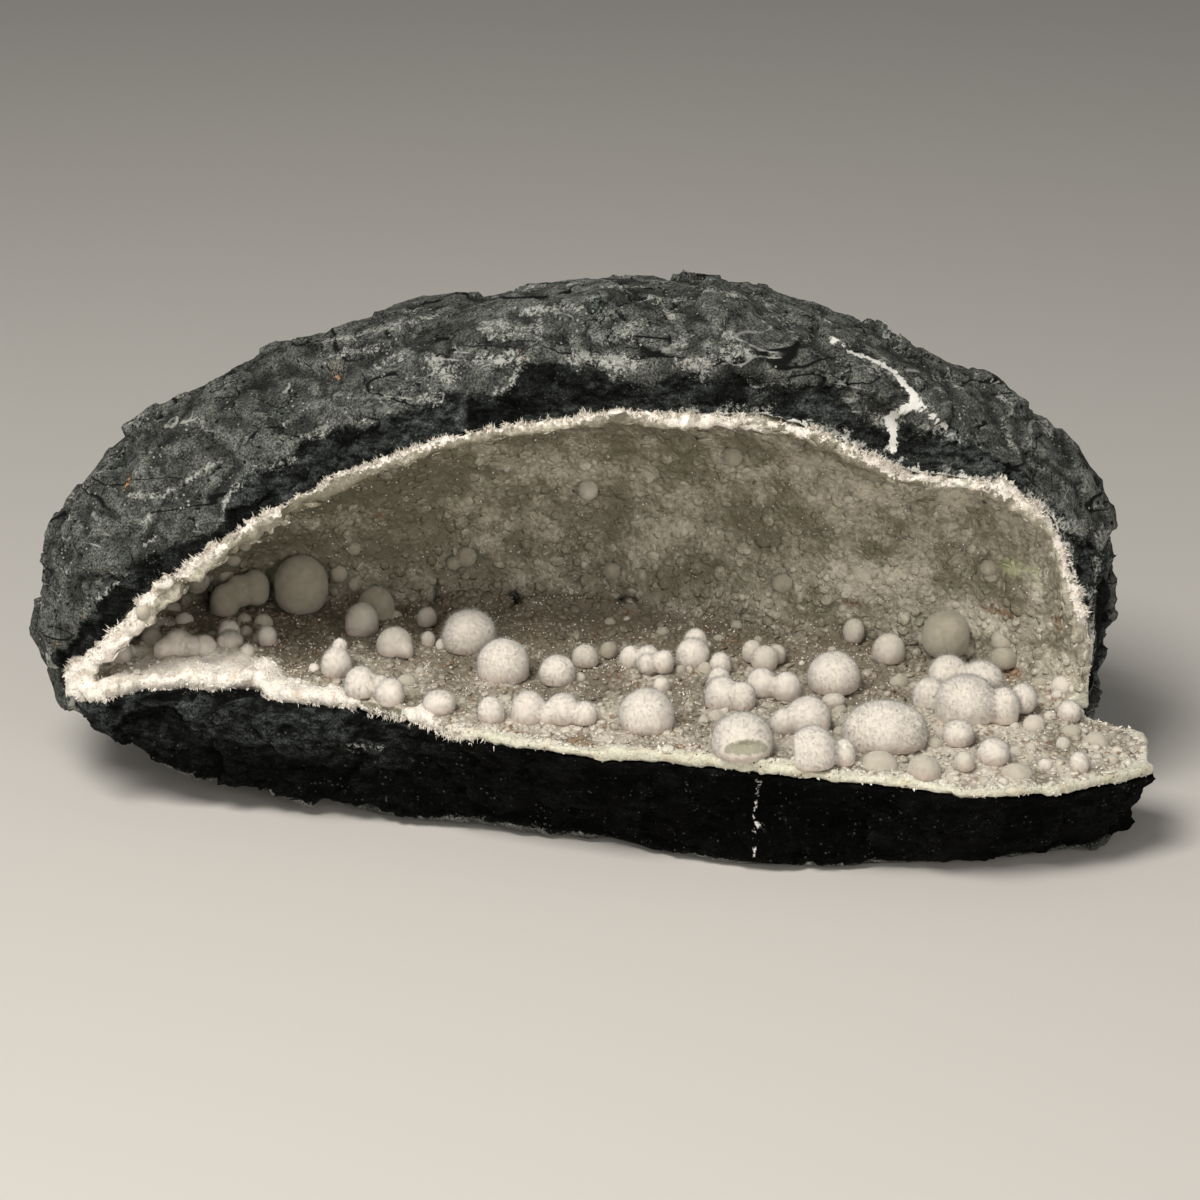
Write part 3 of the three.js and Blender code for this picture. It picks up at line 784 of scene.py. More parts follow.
@dataclass(frozen=True)
class BasaltFinish:
    """Weathered grey skin, near-black fresh breaks, pale zeolite patches, and painted light and shade.

    Attributes:
        skin: darkest and palest chip of the weathered skin.
        fresh: darkest and palest grain of a fresh break.
        teal: tint of the skin in wide patches.
        chalk: the zeolite patches.
        vein: the white vein.
        speck: pale specks of the skin.
        pit: small dark pits.
        rust: rusty spots.
    """

    skin: tuple[str, str] = ("242624", "565854")
    fresh: tuple[str, str] = ("070808", "262928")
    teal: str = "47554f"
    chalk: str = "b3b4ae"
    vein: str = "e4e3de"
    speck: str = "a5a7a1"
    pit: str = "121312"
    rust: str = "b98a64"

    def made(self) -> bpy.types.Material:
        """Wires the material.

        Returns:
            The material.
        """
        f = Finish("basalt")
        grain = f.noise(0.75, 2, 0.85)
        old = f.mixed(f.mark("facet"), tint(self.skin[0]), tint(self.skin[1]))
        old = f.over(old, self.teal, f.noise(30, 4, 0.7), 0.58, 0.72, 0.3)
        old = f.shaded(old, f.ramp(grain, 0.36, 0.64, 0.3, 1.9))
        old = f.shaded(old, f.ramp(f.noise(3, 4, 0.7, 2.5), 0.34, 0.66, 0.75, 1.25))
        flake = f.patchy(f.ramp(f.cracks(13, 9), 0.025, 0.006), (24, 2), 0.46, 0.56)
        ledge = f.patchy(f.streaks(16, 4, 0.012), (20, 3), 0.45, 0.52)
        old = f.mixed(f.maths("MAXIMUM", flake, ledge), old, tint(self.fresh[0]))
        glint = f.patchy(f.streaks(12, 4, 0.01), (17, 3, 0.6), 0.54, 0.6)
        old = f.mixed(f.maths("MULTIPLY", glint, 0.35), old, tint(self.chalk))
        coarse = f.ramp(f.noise(1.8, 5, 0.75, 2.5), 0.36, 0.7)
        new = f.mixed(coarse, tint(self.fresh[0]), tint(self.fresh[1]))
        new = f.shaded(new, f.ramp(grain, 0.38, 0.7, 0.5, 2.0))
        new = f.shaded(new, f.ramp(f.mark("facet"), 0.15, 0.85, 0.3, 2.0))
        # Painted light and shade on the fresh break: darker on the slab's front, which lies in shade, and
        # lighter round the mouth and on the slab's upper left, where light falls.
        new = f.shaded(new, f.ramp(f.mark("band"), 0.0, 1.0, 0.11, 1.5))
        wear = f.frayed("fresh", (2.5, 4, 0.7), 0.2, 0.3)
        colour = f.mixed(f.ramp(wear, 0.44, 0.56), old, new)
        # Painted light and shade: the rock's hollows darker and its ridges lighter.
        colour = f.shaded(colour, f.ramp(f.mark("ridge"), -0.9, 0.9, 0.5, 1.6))
        speck = f.patchy(f.ramp(f.grains(1.9), 0.27, 0.17), (7, 3, 0.7), 0.53, 0.6)
        speck = f.maths("MULTIPLY", speck, f.ramp(f.mark("fresh"), 0.2, 0.8, 0.75, 0.12))
        colour = f.mixed(speck, colour, tint(self.speck))
        pit = f.patchy(f.ramp(f.grains(4.3), 0.2, 0.12), (15, 2), 0.42, 0.52)
        colour = f.mixed(pit, colour, tint(self.pit))
        colour = f.over(colour, self.chalk, f.frayed("chalk", (1.6, 5, 0.85), 0.28, 0.6), 0.5, 0.85, 0.85)
        colour = f.over(colour, self.vein, f.frayed("vein", (1.6, 4, 0.7), 0.25, 0.25), 0.42, 0.6, 0.95)
        colour = f.over(colour, self.rust, f.frayed("rust", (2, 4, 0.75), 0.25, 0.5), 0.5, 0.85, 0.8)
        f.set(Base_Color=colour, Roughness=f.ramp(grain, 0.3, 0.7, 0.95, 0.75))
        f.set(Specular_IOR_Level=f.ramp(f.mark("fresh"), 0.2, 0.8, 0.18, 0.06))
        height = f.maths("ADD", f.noise(0.8, 3, 0.8), f.maths("MULTIPLY", f.noise(3.0, 3, 0.65, 2.0), 0.4))
        f.bump(height, 0.5)
        return f.material


@dataclass(frozen=True)
class CrustFinish:
    """Botryoidal chalcedony, olive grey on the wall, beige on the floor, white where it is broken.

    Attributes:
        wall: darkest and palest tone of the wall.
        floor: darkest and palest tone of the floor.
        white: the broken edge.
        cream: the same along the slab's front.
        beige: its warmer patches.
        green: the green patches.
        rust: darkest and palest tone of the rusty spots.
        dot: small brown dots.
        speck: dark specks of the front edge.
        gap: near-black painted shadow in the open gaps at the back.
    """

    wall: tuple[str, str] = ("7d7866", "cec8b8")
    floor: tuple[str, str] = ("7b7364", "cdc6b8")
    white: str = "e6e0d7"
    cream: str = "c8c6b4"
    beige: str = "b79f80"
    green: str = "bdc09c"
    rust: tuple[str, str] = ("4d3524", "a07b58")
    dot: str = "77573a"
    speck: str = "23231c"
    gap: str = "191916"

    def made(self) -> bpy.types.Material:
        """Wires the material.

        Returns:
            The material.
        """
        f = Finish("druse")
        # The tone mark holds random tone and painted light and shade: darker at the back of the floor and on
        # the wall's left, lighter on the right, at the front of the floor and in the left corner.
        share = f.ramp(f.frayed("tone", (1.6, 4, 0.65), 0.2, 0.3), 0.0, 0.95)
        wall = f.mixed(share, tint(self.wall[0]), tint(self.wall[1]))
        floor = f.mixed(share, tint(self.floor[0]), tint(self.floor[1]))
        colour = f.mixed(f.mark("floor"), wall, floor)
        colour = f.over(colour, self.green, f.frayed("green", (6, 3, 0.6), 0.2, 0.4), 0.4, 0.8, 0.7)
        rusty = f.mixed(f.ramp(f.noise(1.2, 2), 0.35, 0.65), tint(self.rust[0]), tint(self.rust[1]))
        stain = f.frayed("rust", (1.8, 4, 0.7), 0.2, 0.45)
        colour = f.mixed(f.ramp(stain, 0.45, 0.8, 0, 0.75), colour, rusty)
        dot = f.patchy(f.ramp(f.grains(2.9), 0.44, 0.3), (9, 3, 0.7), 0.54, 0.6)
        dot = f.maths("MULTIPLY", dot, f.ramp(f.mark("floor"), 0.0, 1.0, 0.15, 0.7))
        colour = f.mixed(dot, colour, tint(self.dot))
        edge = f.mixed(f.mark("cream"), tint(self.white), tint(self.cream))
        edge = f.over(edge, self.beige, f.noise(6, 4, 0.7), 0.5, 0.68, 0.42)
        share = f.frayed("rim", (1.6, 4, 0.7), 0.2, 0.4)
        edge = f.shaded(edge, f.ramp(f.noise(1.1, 4, 0.75), 0.3, 0.55, 0.7, 1.1))
        colour = f.mixed(f.ramp(share, 0.3, 0.55), colour, edge)
        speck = f.patchy(f.ramp(f.grains(2.2), 0.2, 0.12), (6, 2), 0.46, 0.56)
        colour = f.mixed(f.maths("MULTIPLY", speck, f.mark("cream")), colour, tint(self.speck))
        # Painted shadow: the gaps at the back are painted near-black.
        colour = f.mixed(f.mark("gap"), colour, tint(self.gap))
        f.set(Base_Color=colour, Roughness=f.ramp(f.noise(0.8, 2), 0.3, 0.7, 0.3, 0.6))
        f.set(Specular_IOR_Level=0.5)
        f.set(Subsurface_Weight=0.35, Subsurface_Radius=(1.0, 0.9, 0.75), Subsurface_Scale=1.6 * MM)
        f.bump(f.maths("ADD", f.grains(0.7), f.noise(1.4, 3, 0.6)), 0.2)
        return f.material


@dataclass(frozen=True)
class OkeniteFinish:
    """Soft white fibres, duller and a little pink at the ball's foot.

    Attributes:
        dull_and_shaded: the dullest ball, which also stands for painted shade on the balls that lie in shade.
        white: the whitest ball.
        foot: a ball's foot.
        broken: bare fibres where a ball is broken.
    """

    dull_and_shaded: str = "8f8973"
    white: str = "e0d9cf"
    foot: str = "b9a69a"
    broken: str = "8b8b74"

    def made(self) -> bpy.types.Material:
        """Wires the material.

        Returns:
            The material.
        """
        f = Finish("okenite")
        # From the dullest tone to white by the bright mark: the balls' own whiteness, with painted shade for
        # the balls that lie in shade.
        colour = f.mixed(f.frayed("bright", (3.0, 3, 0.6), 0.2, 0.1), tint(self.dull_and_shaded), tint(self.white))
        colour = f.mixed(f.mark("low"), colour, tint(self.foot))
        colour = f.over(colour, self.broken, f.frayed("stain", (1.5, 3, 0.7), 0.25, 0.25), 0.25, 0.8, 0.8)
        f.set(Base_Color=colour, Roughness=0.9, Specular_IOR_Level=0.15)
        f.set(Subsurface_Weight=0.6, Subsurface_Radius=(1.0, 0.96, 0.92), Subsurface_Scale=1.6 * MM)
        f.set(Sheen_Weight=0.3, Sheen_Roughness=0.5, Sheen_Tint=(1.0, 0.98, 0.95, 1.0))
        f.bump(f.noise(0.4, 2, 0.6), 0.05)
        return f.material


@dataclass(frozen=True)
class WhiteFinish:
    """The crumbs and needles of the crust's broken edge.

    Attributes:
        white: their palest tone.
        shade: their darkest tone.
    """

    white: str = "e9e4dc"
    shade: str = "b9ae9a"

    def made(self) -> bpy.types.Material:
        """Wires the material.

        Returns:
            The material.
        """
        f = Finish("white_edge")
        tone = f.frayed("tone", (1.5, 3, 0.6), 0.2, 0.3)
        f.set(Base_Color=f.mixed(f.ramp(tone, 0.1, 0.8), tint(self.shade), tint(self.white)))
        f.set(Roughness=0.7, Specular_IOR_Level=0.4)
        f.bump(f.noise(0.5, 3, 0.6), 0.12)
        return f.material


@dataclass(frozen=True)
class QuartzFinish:
    """Tiny bright crystals.

    Attributes:
        pale: the clear ones.
        brown: the brown ones.
    """

    pale: str = "e9e4dc"
    brown: str = "a98f74"

    def made(self) -> bpy.types.Material:
        """Wires the material.

        Returns:
            The material.
        """
        f = Finish("quartz")
        f.set(Base_Color=f.mixed(f.mark("rust"), tint(self.pale), tint(self.brown)))
        f.set(Roughness=f.ramp(f.noise(2, 1), 0.3, 0.7, 0.06, 0.22), Specular_IOR_Level=0.9)
        return f.material


# ---- Camera, light and floor ----


@dataclass(frozen=True)
class Lamp:
    """A square soft light that faces the rock.

    Attributes:
        name: the light's name.
        place: where it stands, in metres.
        size: its width, in metres.
        power: its power, in watts.
        colour: its colour.
        aim: the point it faces, in metres.
    """

    name: str
    place: tuple[float, float, float]
    size: float
    power: float
    colour: str
    aim: tuple[float, float, float] = (0.0, 0.0, 0.06)

    def hung(self) -> None:
        """Adds the light to the scene."""
        data = bpy.data.lights.new(self.name, "AREA")
        data.shape, data.size, data.energy = "SQUARE", self.size, self.power
        data.color = tint(self.colour)[:3]
        light = bpy.data.objects.new(self.name, data)
        light.location = self.place
        way = Vector(self.aim) - Vector(self.place)
        light.rotation_euler = way.to_track_quat("-Z", "Y").to_euler()
        bpy.context.scene.collection.objects.link(light)


@dataclass(frozen=True)
class Studio:
    """The camera, soft lights and a pale floor.

    Attributes:
        shift: place of the rock's own origin in the frame, in millimetres.
        rise: angle of the view above the horizon, in degrees.
        distance: from the camera to the point it looks at, in millimetres.
        aim: the point it looks at, from the rock's own origin.
        pixel: size of a pixel at that point, in millimetres.
        view: width of the square view, in pixels.
        sensor: width of the camera's sensor, in millimetres.
        lamps: the soft lights.
        sky: colour of the surroundings.
        glow: how bright they are.
        ground: colour of the floor.
        half_floor: half the floor's width, in metres.
    """

    shift: np.ndarray
    rise: float = 20.0
    distance: float = 1300.0
    aim: tuple[float, float, float] = (0.0, 0.0, 60.0)
    pixel: float = 0.3367
    view: int = 1200
    sensor: float = 36.0
    lamps: tuple[Lamp, ...] = (
        Lamp("key", (-0.5, -0.78, 1.4), 0.7, 26.0, "fffbf4"),
        Lamp("fill", (0.75, -1.5, 0.52), 0.7, 7.5, "fffaf2"),
        Lamp("low", (-0.45, -1.6, 0.6), 0.9, 5.5, "fff8f0"),
    )
    sky: tuple[float, float, float, float] = (0.9, 0.9, 0.89, 1.0)
    glow: float = 0.14
    ground: str = "cbc8c3"
    half_floor: float = 4.0

    def eye(self) -> np.ndarray:
        """Where the camera stands.

        Returns:
            The point, in the frame.
        """
        angle = math.radians(self.rise)
        back = np.array([0.0, -math.cos(angle), math.sin(angle)])
        return self.shift + self.aim + self.distance * back

    def ray(self, across: float, down: float) -> np.ndarray:
        """A line of sight.

        Args:
            across: how far right of the view's left side it passes, in pixels.
            down: how far below the view's top it passes, in pixels.

        Returns:
            Its direction.
        """
        angle = math.radians(self.rise)
        middle = self.view / 2
        ahead = np.array([0.0, math.cos(angle), -math.sin(angle)])
        up = np.array([0.0, math.sin(angle), math.cos(angle)])
        step = self.pixel / self.distance
        way = ahead + (across - middle) * step * np.array([1.0, 0, 0]) + (middle - down) * step * up
        return way / np.linalg.norm(way)

    def seen_at(self, places: np.ndarray, depth: float) -> tuple[np.ndarray, np.ndarray]:
        """Where the lines of sight to some places cross an upright plane.

        Args:
            places: points in the frame.
            depth: y of the plane, from the rock's own origin.

        Returns:
            The x and z of the crossings, from the rock's own origin.
        """
        eye = self.eye()
        way = places - eye
        crossing = eye + way * ((self.shift[1] + depth - eye[1]) / way[:, 1])[:, None] - self.shift
        return crossing[:, 0], crossing[:, 2]

    def camera(self) -> None:
        """Makes the camera."""
        data = bpy.data.cameras.new("camera")
        data.sensor_width = self.sensor
        data.lens = self.sensor * self.distance / (self.pixel * self.view)
        data.clip_start, data.clip_end = 0.05, 20.0
        camera = bpy.data.objects.new("camera", data)
        camera.location = self.eye() * MM
        ahead = Vector(self.shift + self.aim - self.eye())
        camera.rotation_euler = ahead.to_track_quat("-Z", "Y").to_euler()
        bpy.context.scene.collection.objects.link(camera)
        bpy.context.scene.camera = camera

    def light(self) -> None:
        """Hangs the lights and sets the pale surroundings."""
        for lamp in self.lamps:
            lamp.hung()
        world = bpy.data.worlds.new("surroundings")
        world.use_nodes = True
        background = world.node_tree.nodes["Background"].inputs
        background["Color"].default_value = self.sky
        background["Strength"].default_value = self.glow
        bpy.context.scene.world = world
        bpy.context.scene.view_settings.view_transform = "Standard"

    def floor(self) -> None:
        """Makes the pale floor that the rock stands on."""
        half = self.half_floor
        corners = [(-half, -half, 0), (half, -half, 0), (half, half, 0), (-half, half, 0)]
        mesh = bpy.data.meshes.new("floor")
        mesh.from_pydata(corners, [], [(0, 1, 2, 3)])
        obj = bpy.data.objects.new("floor", mesh)
        bpy.context.scene.collection.objects.link(obj)
        f = Finish("floor")
        f.set(Base_Color=tint(self.ground), Roughness=0.85)
        mesh.materials.append(f.material)


# ---- The rock ----


def dressed(
    obj: bpy.types.Object, material: bpy.types.Material, slot: str, *nodes: str
) -> bpy.types.Object:
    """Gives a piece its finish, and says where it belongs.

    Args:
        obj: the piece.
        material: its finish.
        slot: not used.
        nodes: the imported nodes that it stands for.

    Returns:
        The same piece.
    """
    obj.data.materials.append(material)
    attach(obj, BODY)
    if nodes:
        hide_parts(*nodes)
    log.info("%s: %d triangles", obj.name, len(obj.data.polygons))
    return obj


def highest(*values: np.ndarray) -> np.ndarray:
    """The largest of several numbers, place by place."""
    return np.maximum.reduce(values)


def reach(tree: BVHTree, places: np.ndarray, limit: float) -> np.ndarray:
    """Distance from each place to a body, at most limit."""
    found = (tree.find_nearest(place, limit)[3] for place in places.tolist())
    return np.array([limit if far is None else far for far in found])


def beside(tree: BVHTree, places: np.ndarray, far: np.ndarray, limit: float) -> np.ndarray:
    """Which way a body lies from places at the mouth of the hollow, seen from the front.

    Args:
        tree: search tree of the body.
        places: points in the frame.
        far: distance of each place to the body.
        limit: distance from which a place has no direction.

    Returns:
        One direction for each place, without depth, or zeros.
    """
    way = np.zeros_like(places)
    for n in np.flatnonzero(far < limit):
        way[n] = np.array(tree.find_nearest(places[n].tolist())[0]) - places[n]
    way[:, 1] = 0.0
    return way / np.maximum(np.linalg.norm(way, axis=1), 0.05)[:, None]


def covered(tree: BVHTree, skin: Skin, limit: float) -> np.ndarray:
    """1 for each vertex that has a body within limit in front of it, 0 for the others."""
    rays = zip((skin.places - skin.normals()).tolist(), skin.normals().tolist())
    return np.array([tree.ray_cast(start, way, 1.0 + limit)[0] is not None for start, way in rays], float)


@dataclass(frozen=True)
class Mark:
    """A stroke of colour on the rock or the crust.

    Attributes:
        route: where it shows in the view: across and down of its points, in pixels.
        width: half its width, in millimetres.
        strength: how plain it is, from 0 to 1.
        step: distance between the points that are found on the body, in pixels.
        soft: how much wider than its own width it fades out.
    """

    route: tuple[tuple[float, float], ...]
    width: float
    strength: float = 1.0
    step: float = 3.0
    soft: float = 2.5

    def on(self, studio: Studio, tree: BVHTree) -> np.ndarray:
        """Finds its points on a body.

        Args:
            studio: gives the line of sight through a spot of the view.
            tree: search tree of the body.

        Returns:
            Points of the stroke, close together.
        """
        spots = [np.array(self.route[0], float)]
        for a, b in zip(np.array(self.route[:-1], float), np.array(self.route[1:], float)):
            steps = max(int(np.linalg.norm(b - a) / self.step), 1)
            spots += [a + (b - a) * (n + 1) / steps for n in range(steps)]
        eye = studio.eye().tolist()
        found = [tree.ray_cast(eye, studio.ray(*spot).tolist())[0] for spot in spots]
        return np.array([hit for hit in found if hit is not None]).reshape(-1, 3)

    def shown(self, places: np.ndarray, studio: Studio, tree: BVHTree) -> np.ndarray:
        """How plainly it shows.

        Args:
            places: points on the body.
            studio: gives the line of sight through a spot of the view.
            tree: search tree of the body.

        Returns:
            A number for each place: its strength on the stroke, falling to 0 beside it.
        """
        nearest = np.full(len(places), np.inf)
        for centre in self.on(studio, tree):
            nearest = np.minimum(nearest, np.linalg.norm(places - centre, axis=1))
        return self.strength * np.clip(1 - nearest / (self.soft * self.width), 0, 1)


def strokes(*rows: tuple[float, ...]) -> tuple[Mark, ...]:
    """Marks from rows of numbers: half the width, the strength, then across and down of each point."""
    return tuple(Mark(tuple(zip(row[2::2], row[3::2])), *row[:2]) for row in rows)


def painted(places: np.ndarray, marks: Sequence[Mark], studio: Studio, tree: BVHTree) -> np.ndarray:
    """How plainly any of the marks shows at each place, from 0 to 1."""
    return highest(np.zeros(len(places)), *(mark.shown(places, studio, tree) for mark in marks))


# How far away other bodies are looked for, in millimetres.
SEARCH = 12.0

# Upper edge of the fresh break round the mouth: x and z of points just in front of it.
BREAK_EDGE = (
    (-190, 44), (-175, 58), (-162, 75), (-148, 90), (-124, 98), (-120, 110), (-111, 118), (-90, 129),
    (-66, 136), (-55, 142), (-31, 144), (-25, 153), (46, 153), (56, 145), (75, 147), (82, 138), (95, 129),
    (101, 138), (115, 133), (133, 122), (143, 108), (152, 100), (166, 88), (165.5, 67), (170, 43),
    (200, 30),
)  # fmt: skip


@dataclass
class BasaltMatrix:
    """The broken basalt nodule with its floor slab.

    Attributes:
        studio: gives the rock's own origin and the lines of sight.
        grid: width of its faces, in millimetres.
        kept: share of the faces that is kept out of sight, and at the back.
        chips: pitch and depth of the flat chips of its skin.
        hackle: pitch and depth of the finer chips of its fresh breaks.
        ledge: pitch and depth of the steps that run round it.
        grit: pitch and height of its grit.
        pits: pitch and depth of the round pits.
        mouth: y of the broken face.
        back: y behind which its faces may be larger.
        slab: height of the slab's front, where no crust covers the rock.
        floor: height of the hollow's floor.
        front: y of the plane that the break's edge is given at.
        end: x of the mouth's right end.
        lining: distance from the crust up to which the rock is hidden behind it.
        spared: distance from the crust at which the rock starts to be chipped, and is chipped freely.
        veins: strokes of the white vein.
        chalk: strokes of pale zeolite.
        rust: rusty spots.
    """

    studio: Studio
    grid: float = 1.45
    kept: tuple[float, float] = (0.06, 0.62)
    chips: tuple[tuple[float, float], ...] = ((38.0, 4.6), (15.0, 1.7), (6.2, 0.7), (3.4, 0.2))
    hackle: tuple[tuple[float, float], ...] = ((19.0, 2.8), (7.0, 1.3), (3.4, 0.6))
    ledge: tuple[float, float] = (15.0, 2.0)
    grit: tuple[float, float] = (3.0, 0.2)
    pits: tuple[float, float] = (6.0, 1.2)
    mouth: float = -34.0
    back: float = 15.0
    slab: float = 20.0
    floor: float = 46.0
    front: float = -38.0
    end: float = 172.0
    lining: float = 1.0
    spared: tuple[float, float] = (0.8, 6.0)
    veins: tuple[Mark, ...] = strokes(
        (1.1, 1.0, 833, 339, 854, 354, 879, 362, 894, 372, 910, 390, 920, 404),
        (1.2, 1.0, 920, 404, 905, 408, 889, 418, 894, 436, 892, 449),
        (0.9, 1.0, 921, 407, 933, 416, 945, 426),
        (0.5, 0.9, 757, 778, 760, 790, 756, 803, 753, 815, 757, 830, 754, 845, 752, 862),
    )  # fmt: skip
    chalk: tuple[Mark, ...] = strokes(
        (1.6, 0.8, 321, 342, 352, 336, 395, 325, 434, 318), (1.5, 0.75, 327, 360, 345, 352, 386, 347),
        (2.4, 0.8, 428, 360, 440, 370, 452, 378), (2.4, 0.8, 481, 362, 498, 360, 510, 356),
        (1.7, 0.8, 424, 398, 440, 399), (1.7, 0.85, 528, 311, 552, 310, 581, 308),
        (1.6, 0.75, 604, 286, 640, 287), (1.8, 0.7, 651, 295, 660, 302), (1.7, 0.8, 668, 312, 674, 320),
        (1.5, 0.7, 700, 290, 722, 292, 745, 297), (1.4, 0.6, 757, 301, 782, 318, 806, 341),
        (1.6, 0.6, 736, 347, 745, 349), (1.6, 0.5, 752, 382, 775, 386), (1.2, 0.3, 212, 560, 225, 600),
        (0.8, 0.7, 344, 745, 381, 747), (1.6, 0.6, 208, 684, 222, 690),
        (1.0, 0.35, 150, 560, 160, 575, 140, 600), (1.5, 0.4, 1000, 400, 1010, 420),
        (1.6, 0.4, 935, 425, 955, 432, 985, 440),
        (2.6, 1.0, 925, 486, 950, 484, 980, 480, 1005, 484, 1022, 497),
        (1.6, 0.9, 1040, 505, 1062, 524, 1082, 534), (1.3, 0.8, 1096, 560, 1095, 600, 1092, 640),
        (1.6, 0.9, 70, 690, 74, 712), (0.8, 0.9, 131, 494, 160, 497, 213, 464),
        (1.0, 0.8, 150, 516, 143, 526), (0.7, 0.85, 155, 538, 134, 554, 129, 571, 100, 598),
        (1.0, 0.85, 294, 461, 261, 468, 230, 492, 222, 509), (0.9, 0.8, 189, 439, 203, 427),
        (1.2, 0.8, 105, 452, 107, 460), (1.3, 0.8, 765, 305, 796, 339), (1.3, 0.8, 818, 318, 834, 324),
        (1.1, 0.9, 735, 339, 750, 355), (1.2, 0.8, 925, 431, 959, 438),
        (1.3, 0.85, 997, 396, 1008, 402, 1020, 406), (1.1, 0.75, 1003, 420, 1008, 436, 1014, 450),
        (1.2, 0.8, 955, 386, 963, 388),
    )  # fmt: skip
    rust: tuple[Mark, ...] = strokes(
        (1.5, 0.6, 335, 362, 338, 378), (1.0, 0.6, 519, 350, 524, 360), (1.2, 0.6, 688, 362),
        (0.9, 0.8, 130, 478, 124, 490), (0.9, 0.8, 206, 456, 207, 460), (0.8, 0.7, 166, 484),
        (0.6, 0.5, 52, 648, 100, 600),
    )  # fmt: skip

    def break_mark(self, skin: Skin) -> tuple[np.ndarray, np.ndarray]:
        """Where the rock is freshly broken: round the mouth and on the slab's front.

        Args:
            skin: the rock.

        Returns:
            1 where it is fresh and 0 on the weathered skin, and each place's height above the break's edge.
        """
        local = skin.places - self.studio.shift
        x, z = self.studio.seen_at(skin.places, self.front)
        edge_x, edge_z = np.array(BREAK_EDGE, float).T
        above = z - np.interp(x, edge_x, edge_z) + 2.2 * rough(skin.places, 9.0, 3, Salt.BREAK)
        mouth = (above < 0) & (local[:, 1] < self.mouth + 24) & (local[:, 2] > self.floor)
        upright = skin.normals()[:, 2] > -0.9
        slab = (local[:, 1] < self.mouth + 6) & (local[:, 2] <= self.floor) & upright
        return skin.evened((mouth | slab).astype(float), 1), above

    def cells(self, at: np.ndarray, layers: Sequence[tuple[float, float]], salt: int) -> list[Cells]:
        """Chips with wavy borders.

        Args:
            at: places on the even rock.
            layers: pitch and depth of each size of chip, the largest first.
            salt: which random pattern they follow.

        Returns:
            The cells of each size.
        """
        wave = 0.4 * layers[0][0]
        bend = 0.07 * layers[0][0] * np.stack([relief(at, wave, salt + n) for n in range(3)], 1)
        return [Cells.at(at + bend, pitch, salt + 9 * n) for n, (pitch, _) in enumerate(layers)]

    def chipped(self, at: np.ndarray, layers: Sequence[tuple[float, float]], salt: int) -> np.ndarray:
        """Flat chips of several sizes on each other, in millimetres."""
        cells = self.cells(at, layers, salt)
        return sum(depth * cells[n].chipped(salt + n) for n, (_, depth) in enumerate(layers))

    def facets(self, at: np.ndarray, fresh: np.ndarray) -> np.ndarray:
        """How pale each middle-sized chip is.

        Args:
            at: places on the even rock.
            fresh: 1 on the fresh breaks, 0 on the weathered skin.

        Returns:
            A number from 0 to 1 for each place.
        """
        _, wide, narrow, _ = self.cells(at, self.chips, Salt.CHIPS)
        skin = 0.6 * wide.tone(Salt.CHIP_TONE) + 0.4 * narrow.tone(Salt.CHIP_TONE + 1)
        wide, narrow, _ = self.cells(at, self.hackle, Salt.HACKLE)
        break_tone = 0.6 * wide.tone(Salt.HACKLE_TONE) + 0.4 * narrow.tone(Salt.HACKLE_TONE + 1)
        return skin * (1 - fresh) + break_tone * fresh

    def ledges(self, at: np.ndarray) -> np.ndarray:
        """Long slanting steps that run round the rock.

        Args:
            at: places on the even rock.

        Returns:
            A height for each place, in millimetres.
        """
        pitch, depth = self.ledge
        slope = (at @ np.array([0.3, -0.2, 1.0])) / pitch
        level = slope + 0.9 * relief(at, 55.0, Salt.LEDGES) + 0.15 * relief(at, 9.0, Salt.LEDGES + 1)
        patch = eased(relief(at, 48.0, Salt.LEDGES + 2), -0.1, 0.3)
        return depth * patch * (level - np.floor(level) - 0.5)

    def sparse(self, cad: Skin, crust: BVHTree) -> Skin:
        """The rock in even faces, larger under the crust, at its foot and at the back.

        Args:
            cad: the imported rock.
            crust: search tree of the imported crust.

        Returns:
            The even rock.
        """
        skin = cad.remeshed(self.grid)
        log.info("rock grid: %d triangles", len(skin.faces))
        local = skin.places - self.studio.shift
        inside = (local[:, 1] > self.mouth + 2) | (local[:, 2] > self.slab)
        lined = (reach(crust, skin.places, SEARCH) < self.lining) & inside
        hidden = (lined | (skin.places[:, 2] < 0.4)).astype(float)
        skin = skin.thinned((skin.evened(hidden, 2) > 0.97).astype(float), self.kept[0])
        behind = skin.places[:, 1] - self.studio.shift[1] > self.back
        return skin.thinned(behind.astype(float), self.kept[1])

    def worn(self, at: np.ndarray, fresh: np.ndarray, free: np.ndarray) -> np.ndarray:
        """How far chips, ledges, grit and pits raise the rock.

        Args:
            at: places on the even rock.
            fresh: 1 on the fresh breaks, 0 on the weathered skin.
            free: 0 beside the crust, 1 well away from it.

        Returns:
            A height for each place, in millimetres.
        """
        old = self.chipped(at, self.chips, Salt.CHIPS) + self.ledges(at) + 0.5
        new = self.chipped(at, self.hackle, Salt.HACKLE) - 0.7
        grit = self.grit[1] * rough(at, self.grit[0], 2, Salt.GRIT)
        pit = Cells.at(at, self.pits[0], Salt.PITS)
        holes = self.pits[1] * (pit.tone(3) > 0.66) * (1 - eased(pit.near, 0.08, 0.24)) * (1 - fresh)
        raised = (old * (1 - fresh) + new * fresh + grit) * (0.2 + 0.8 * free)
        return raised - holes - 0.2 * (1 - free)

